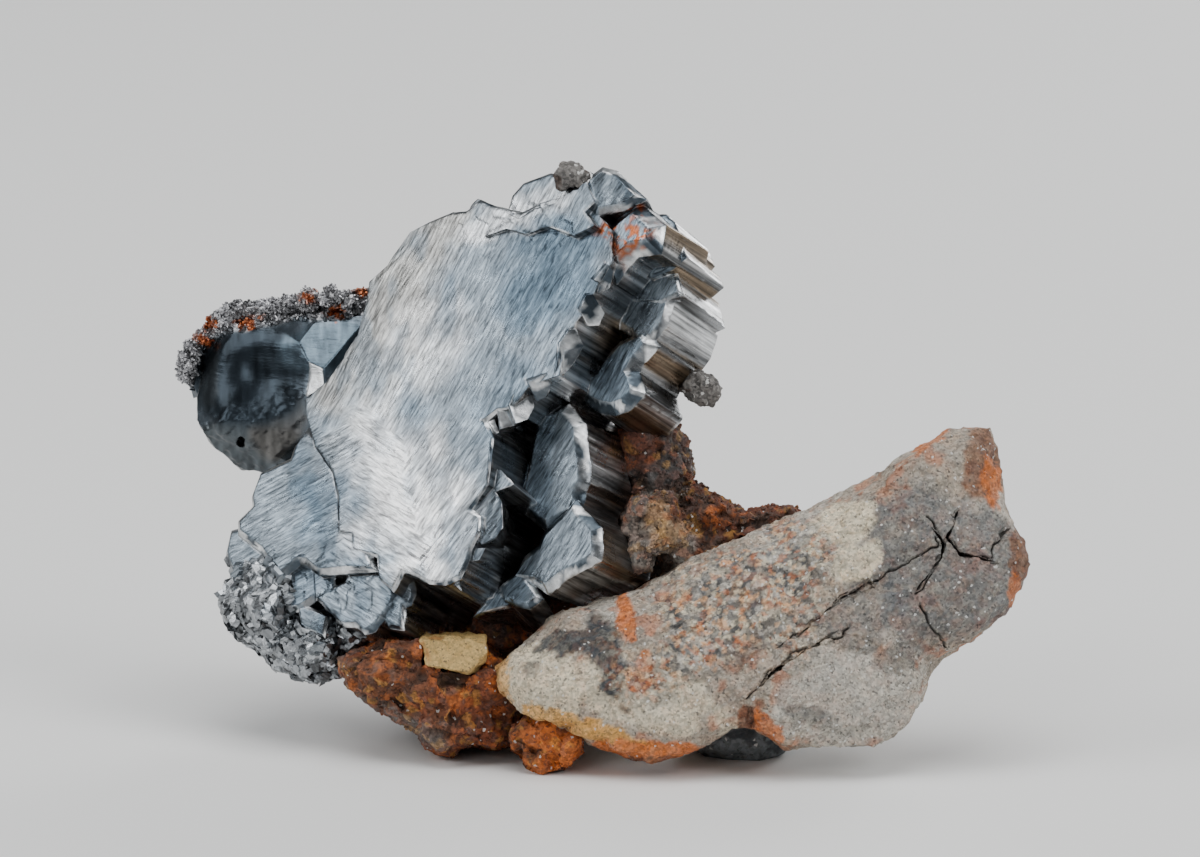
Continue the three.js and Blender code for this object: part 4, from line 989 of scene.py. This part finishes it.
def random_vector(tree, low, high, seed, offset):
    node = add_node(tree, "FunctionNodeRandomValue", data_type="FLOAT_VECTOR")
    tree.links.new(low, node.inputs[0])
    tree.links.new(high, node.inputs[1])
    tree.links.new(math_node(tree, "ADD", seed, float(offset)), node.inputs["Seed"])
    return node.outputs[0]


# %% Scatter over a finished piece
def scatter(name, ground, slot, material, prism, **values):
    carrier = bpy.data.objects.new(name + "_carrier", ground.data)
    bpy.context.scene.collection.objects.link(carrier)
    modifier = carrier.modifiers.new("bits", "NODES")
    modifier.node_group = scatter_tree(prism)
    values["Finish"] = material
    for item in modifier.node_group.interface.items_tree:
        if item.in_out == "INPUT" and item.name in values:
            modifier[item.identifier] = values[item.name]
    carrier.update_tag()
    mesh = bpy.data.meshes.new_from_object(carrier.evaluated_get(bpy.context.evaluated_depsgraph_get()))
    bpy.data.objects.remove(carrier)
    piece = bpy.data.objects.new(name, mesh)
    bpy.context.scene.collection.objects.link(piece)
    finish_piece(piece, None)
    print(name, len(mesh.polygons), "faces")


def millimetres(*sizes):
    return [size * MILLIMETRE for size in sizes]


PER_SQUARE_MILLIMETRE = 1e6
scatter("crown_crystals", dark_crystal, "dark_bournonite", dark_bournonite, True,
        Density=12 * PER_SQUARE_MILLIMETRE, Smallest=millimetres(0.2, 0.2, 0.2),
        Largest=millimetres(0.5, 0.5, 0.45), Tilt=[0.9, 0.9, 3.1], Seed=3)
scatter("broken_plates", cluster, "bournonite", bournonite, True,
        Density=2.6 * PER_SQUARE_MILLIMETRE, Smallest=millimetres(1.0, 0.8, 0.3),
        Largest=millimetres(3.0, 1.8, 0.6), Tilt=[0.45, 0.45, 3.1], Seed=5)
scatter("matrix_grit", matrix, "limonite", limonite, False,
        Density=1.1 * PER_SQUARE_MILLIMETRE, Smallest=millimetres(0.2, 0.2, 0.2),
        Largest=millimetres(0.7, 0.6, 0.5), Tilt=[0.8, 0.8, 3.1], Seed=7)

mica = rock_material("pale_mica_grains", 0.3, 0.3, 0.0, 0.3)
scatter("shard_grains", shard, "sandstone", mica, False,
        Density=2.2 * PER_SQUARE_MILLIMETRE, Smallest=millimetres(0.14, 0.14, 0.08),
        Largest=millimetres(0.34, 0.34, 0.2), Tilt=[0.4, 0.4, 3.1], Seed=9)

# %% [markdown]
# ## Floor, light and camera
# The specimen stands on a plain pale floor. Metal shows what it reflects, so the lights are large
# and soft: a wide one at the left that the large face mirrors, one overhead, a tall one behind at
# the right for the stacks, a small one in front for bright facets and a fill at the right. The
# camera looks from the front, 12 degrees down, through a long lens.

# %% Floor and lights
FLOOR_SIDE = 6.0


def make_floor():
    mesh = bpy.data.meshes.new("floor")
    half = FLOOR_SIDE / 2
    corners = [(-half, -half, 0), (half, -half, 0), (half, half, 0), (-half, half, 0)]
    mesh.from_pydata(corners, [], [(0, 1, 2, 3)])
    material, tree, shader = new_material("pale_floor")
    connect(tree, shader, Base_Color=(0.82, 0.82, 0.81, 1), Roughness=0.7)
    mesh.materials.append(material)
    floor = bpy.data.objects.new("floor", mesh)
    bpy.context.scene.collection.objects.link(floor)


def softbox(name, toward, distance, width, height, watts):
    """An area light in a direction of the front view, facing the specimen."""
    light = bpy.data.lights.new(name, "AREA")
    light.shape = "RECTANGLE"
    light.size = width
    light.size_y = height
    light.energy = watts
    lamp = bpy.data.objects.new(name, light)
    direction = Vector(unit(np.array(toward)) @ FRONT_AXES)
    target = Vector((0, 0, 0.03))
    lamp.location = target + distance * direction
    lamp.rotation_euler = direction.to_track_quat("Z", "Y").to_euler()
    bpy.context.scene.collection.objects.link(lamp)


make_floor()
softbox("left_softbox", (-0.80, 0.52, 0.33), 0.9, 0.55, 0.55, 3.1)
softbox("overhead_softbox", (0.05, 1.0, 0.25), 1.0, 0.8, 0.8, 8.0)
softbox("right_back_softbox", (0.50, 0.50, -0.78), 0.9, 0.35, 0.7, 4.0)
softbox("front_softbox", (-0.30, 0.25, 0.92), 1.4, 0.4, 0.4, 1.6)
softbox("right_fill", (0.65, 0.50, 0.60), 1.2, 0.6, 0.6, 5.0)
world = bpy.data.worlds.new("studio")
world.use_nodes = True
world.node_tree.nodes["Background"].inputs["Color"].default_value = (0.20, 0.21, 0.22, 1)
bpy.context.scene.world = world

# %% Camera
FRAME_WIDTH = 120.0  # millimetres across the picture at the large face
CAMERA_DISTANCE = 1.2
SENSOR = 36.0
VIEW_CENTRE = [0, 35.15, -12]  # front view, in millimetres
camera_data = bpy.data.cameras.new("camera")
camera_data.sensor_width = SENSOR
camera_data.lens = SENSOR * CAMERA_DISTANCE / (FRAME_WIDTH * MILLIMETRE)
camera = bpy.data.objects.new("camera", camera_data)
camera.location = Vector(to_frame(VIEW_CENTRE)) + CAMERA_DISTANCE * Vector(FRONT_AXES[2])
camera.rotation_euler = (math.pi / 2 - VIEW_ELEVATION, 0, 0)
bpy.context.scene.collection.objects.link(camera)
bpy.context.scene.camera = camera
print("camera at", [round(v, 3) for v in camera.location])
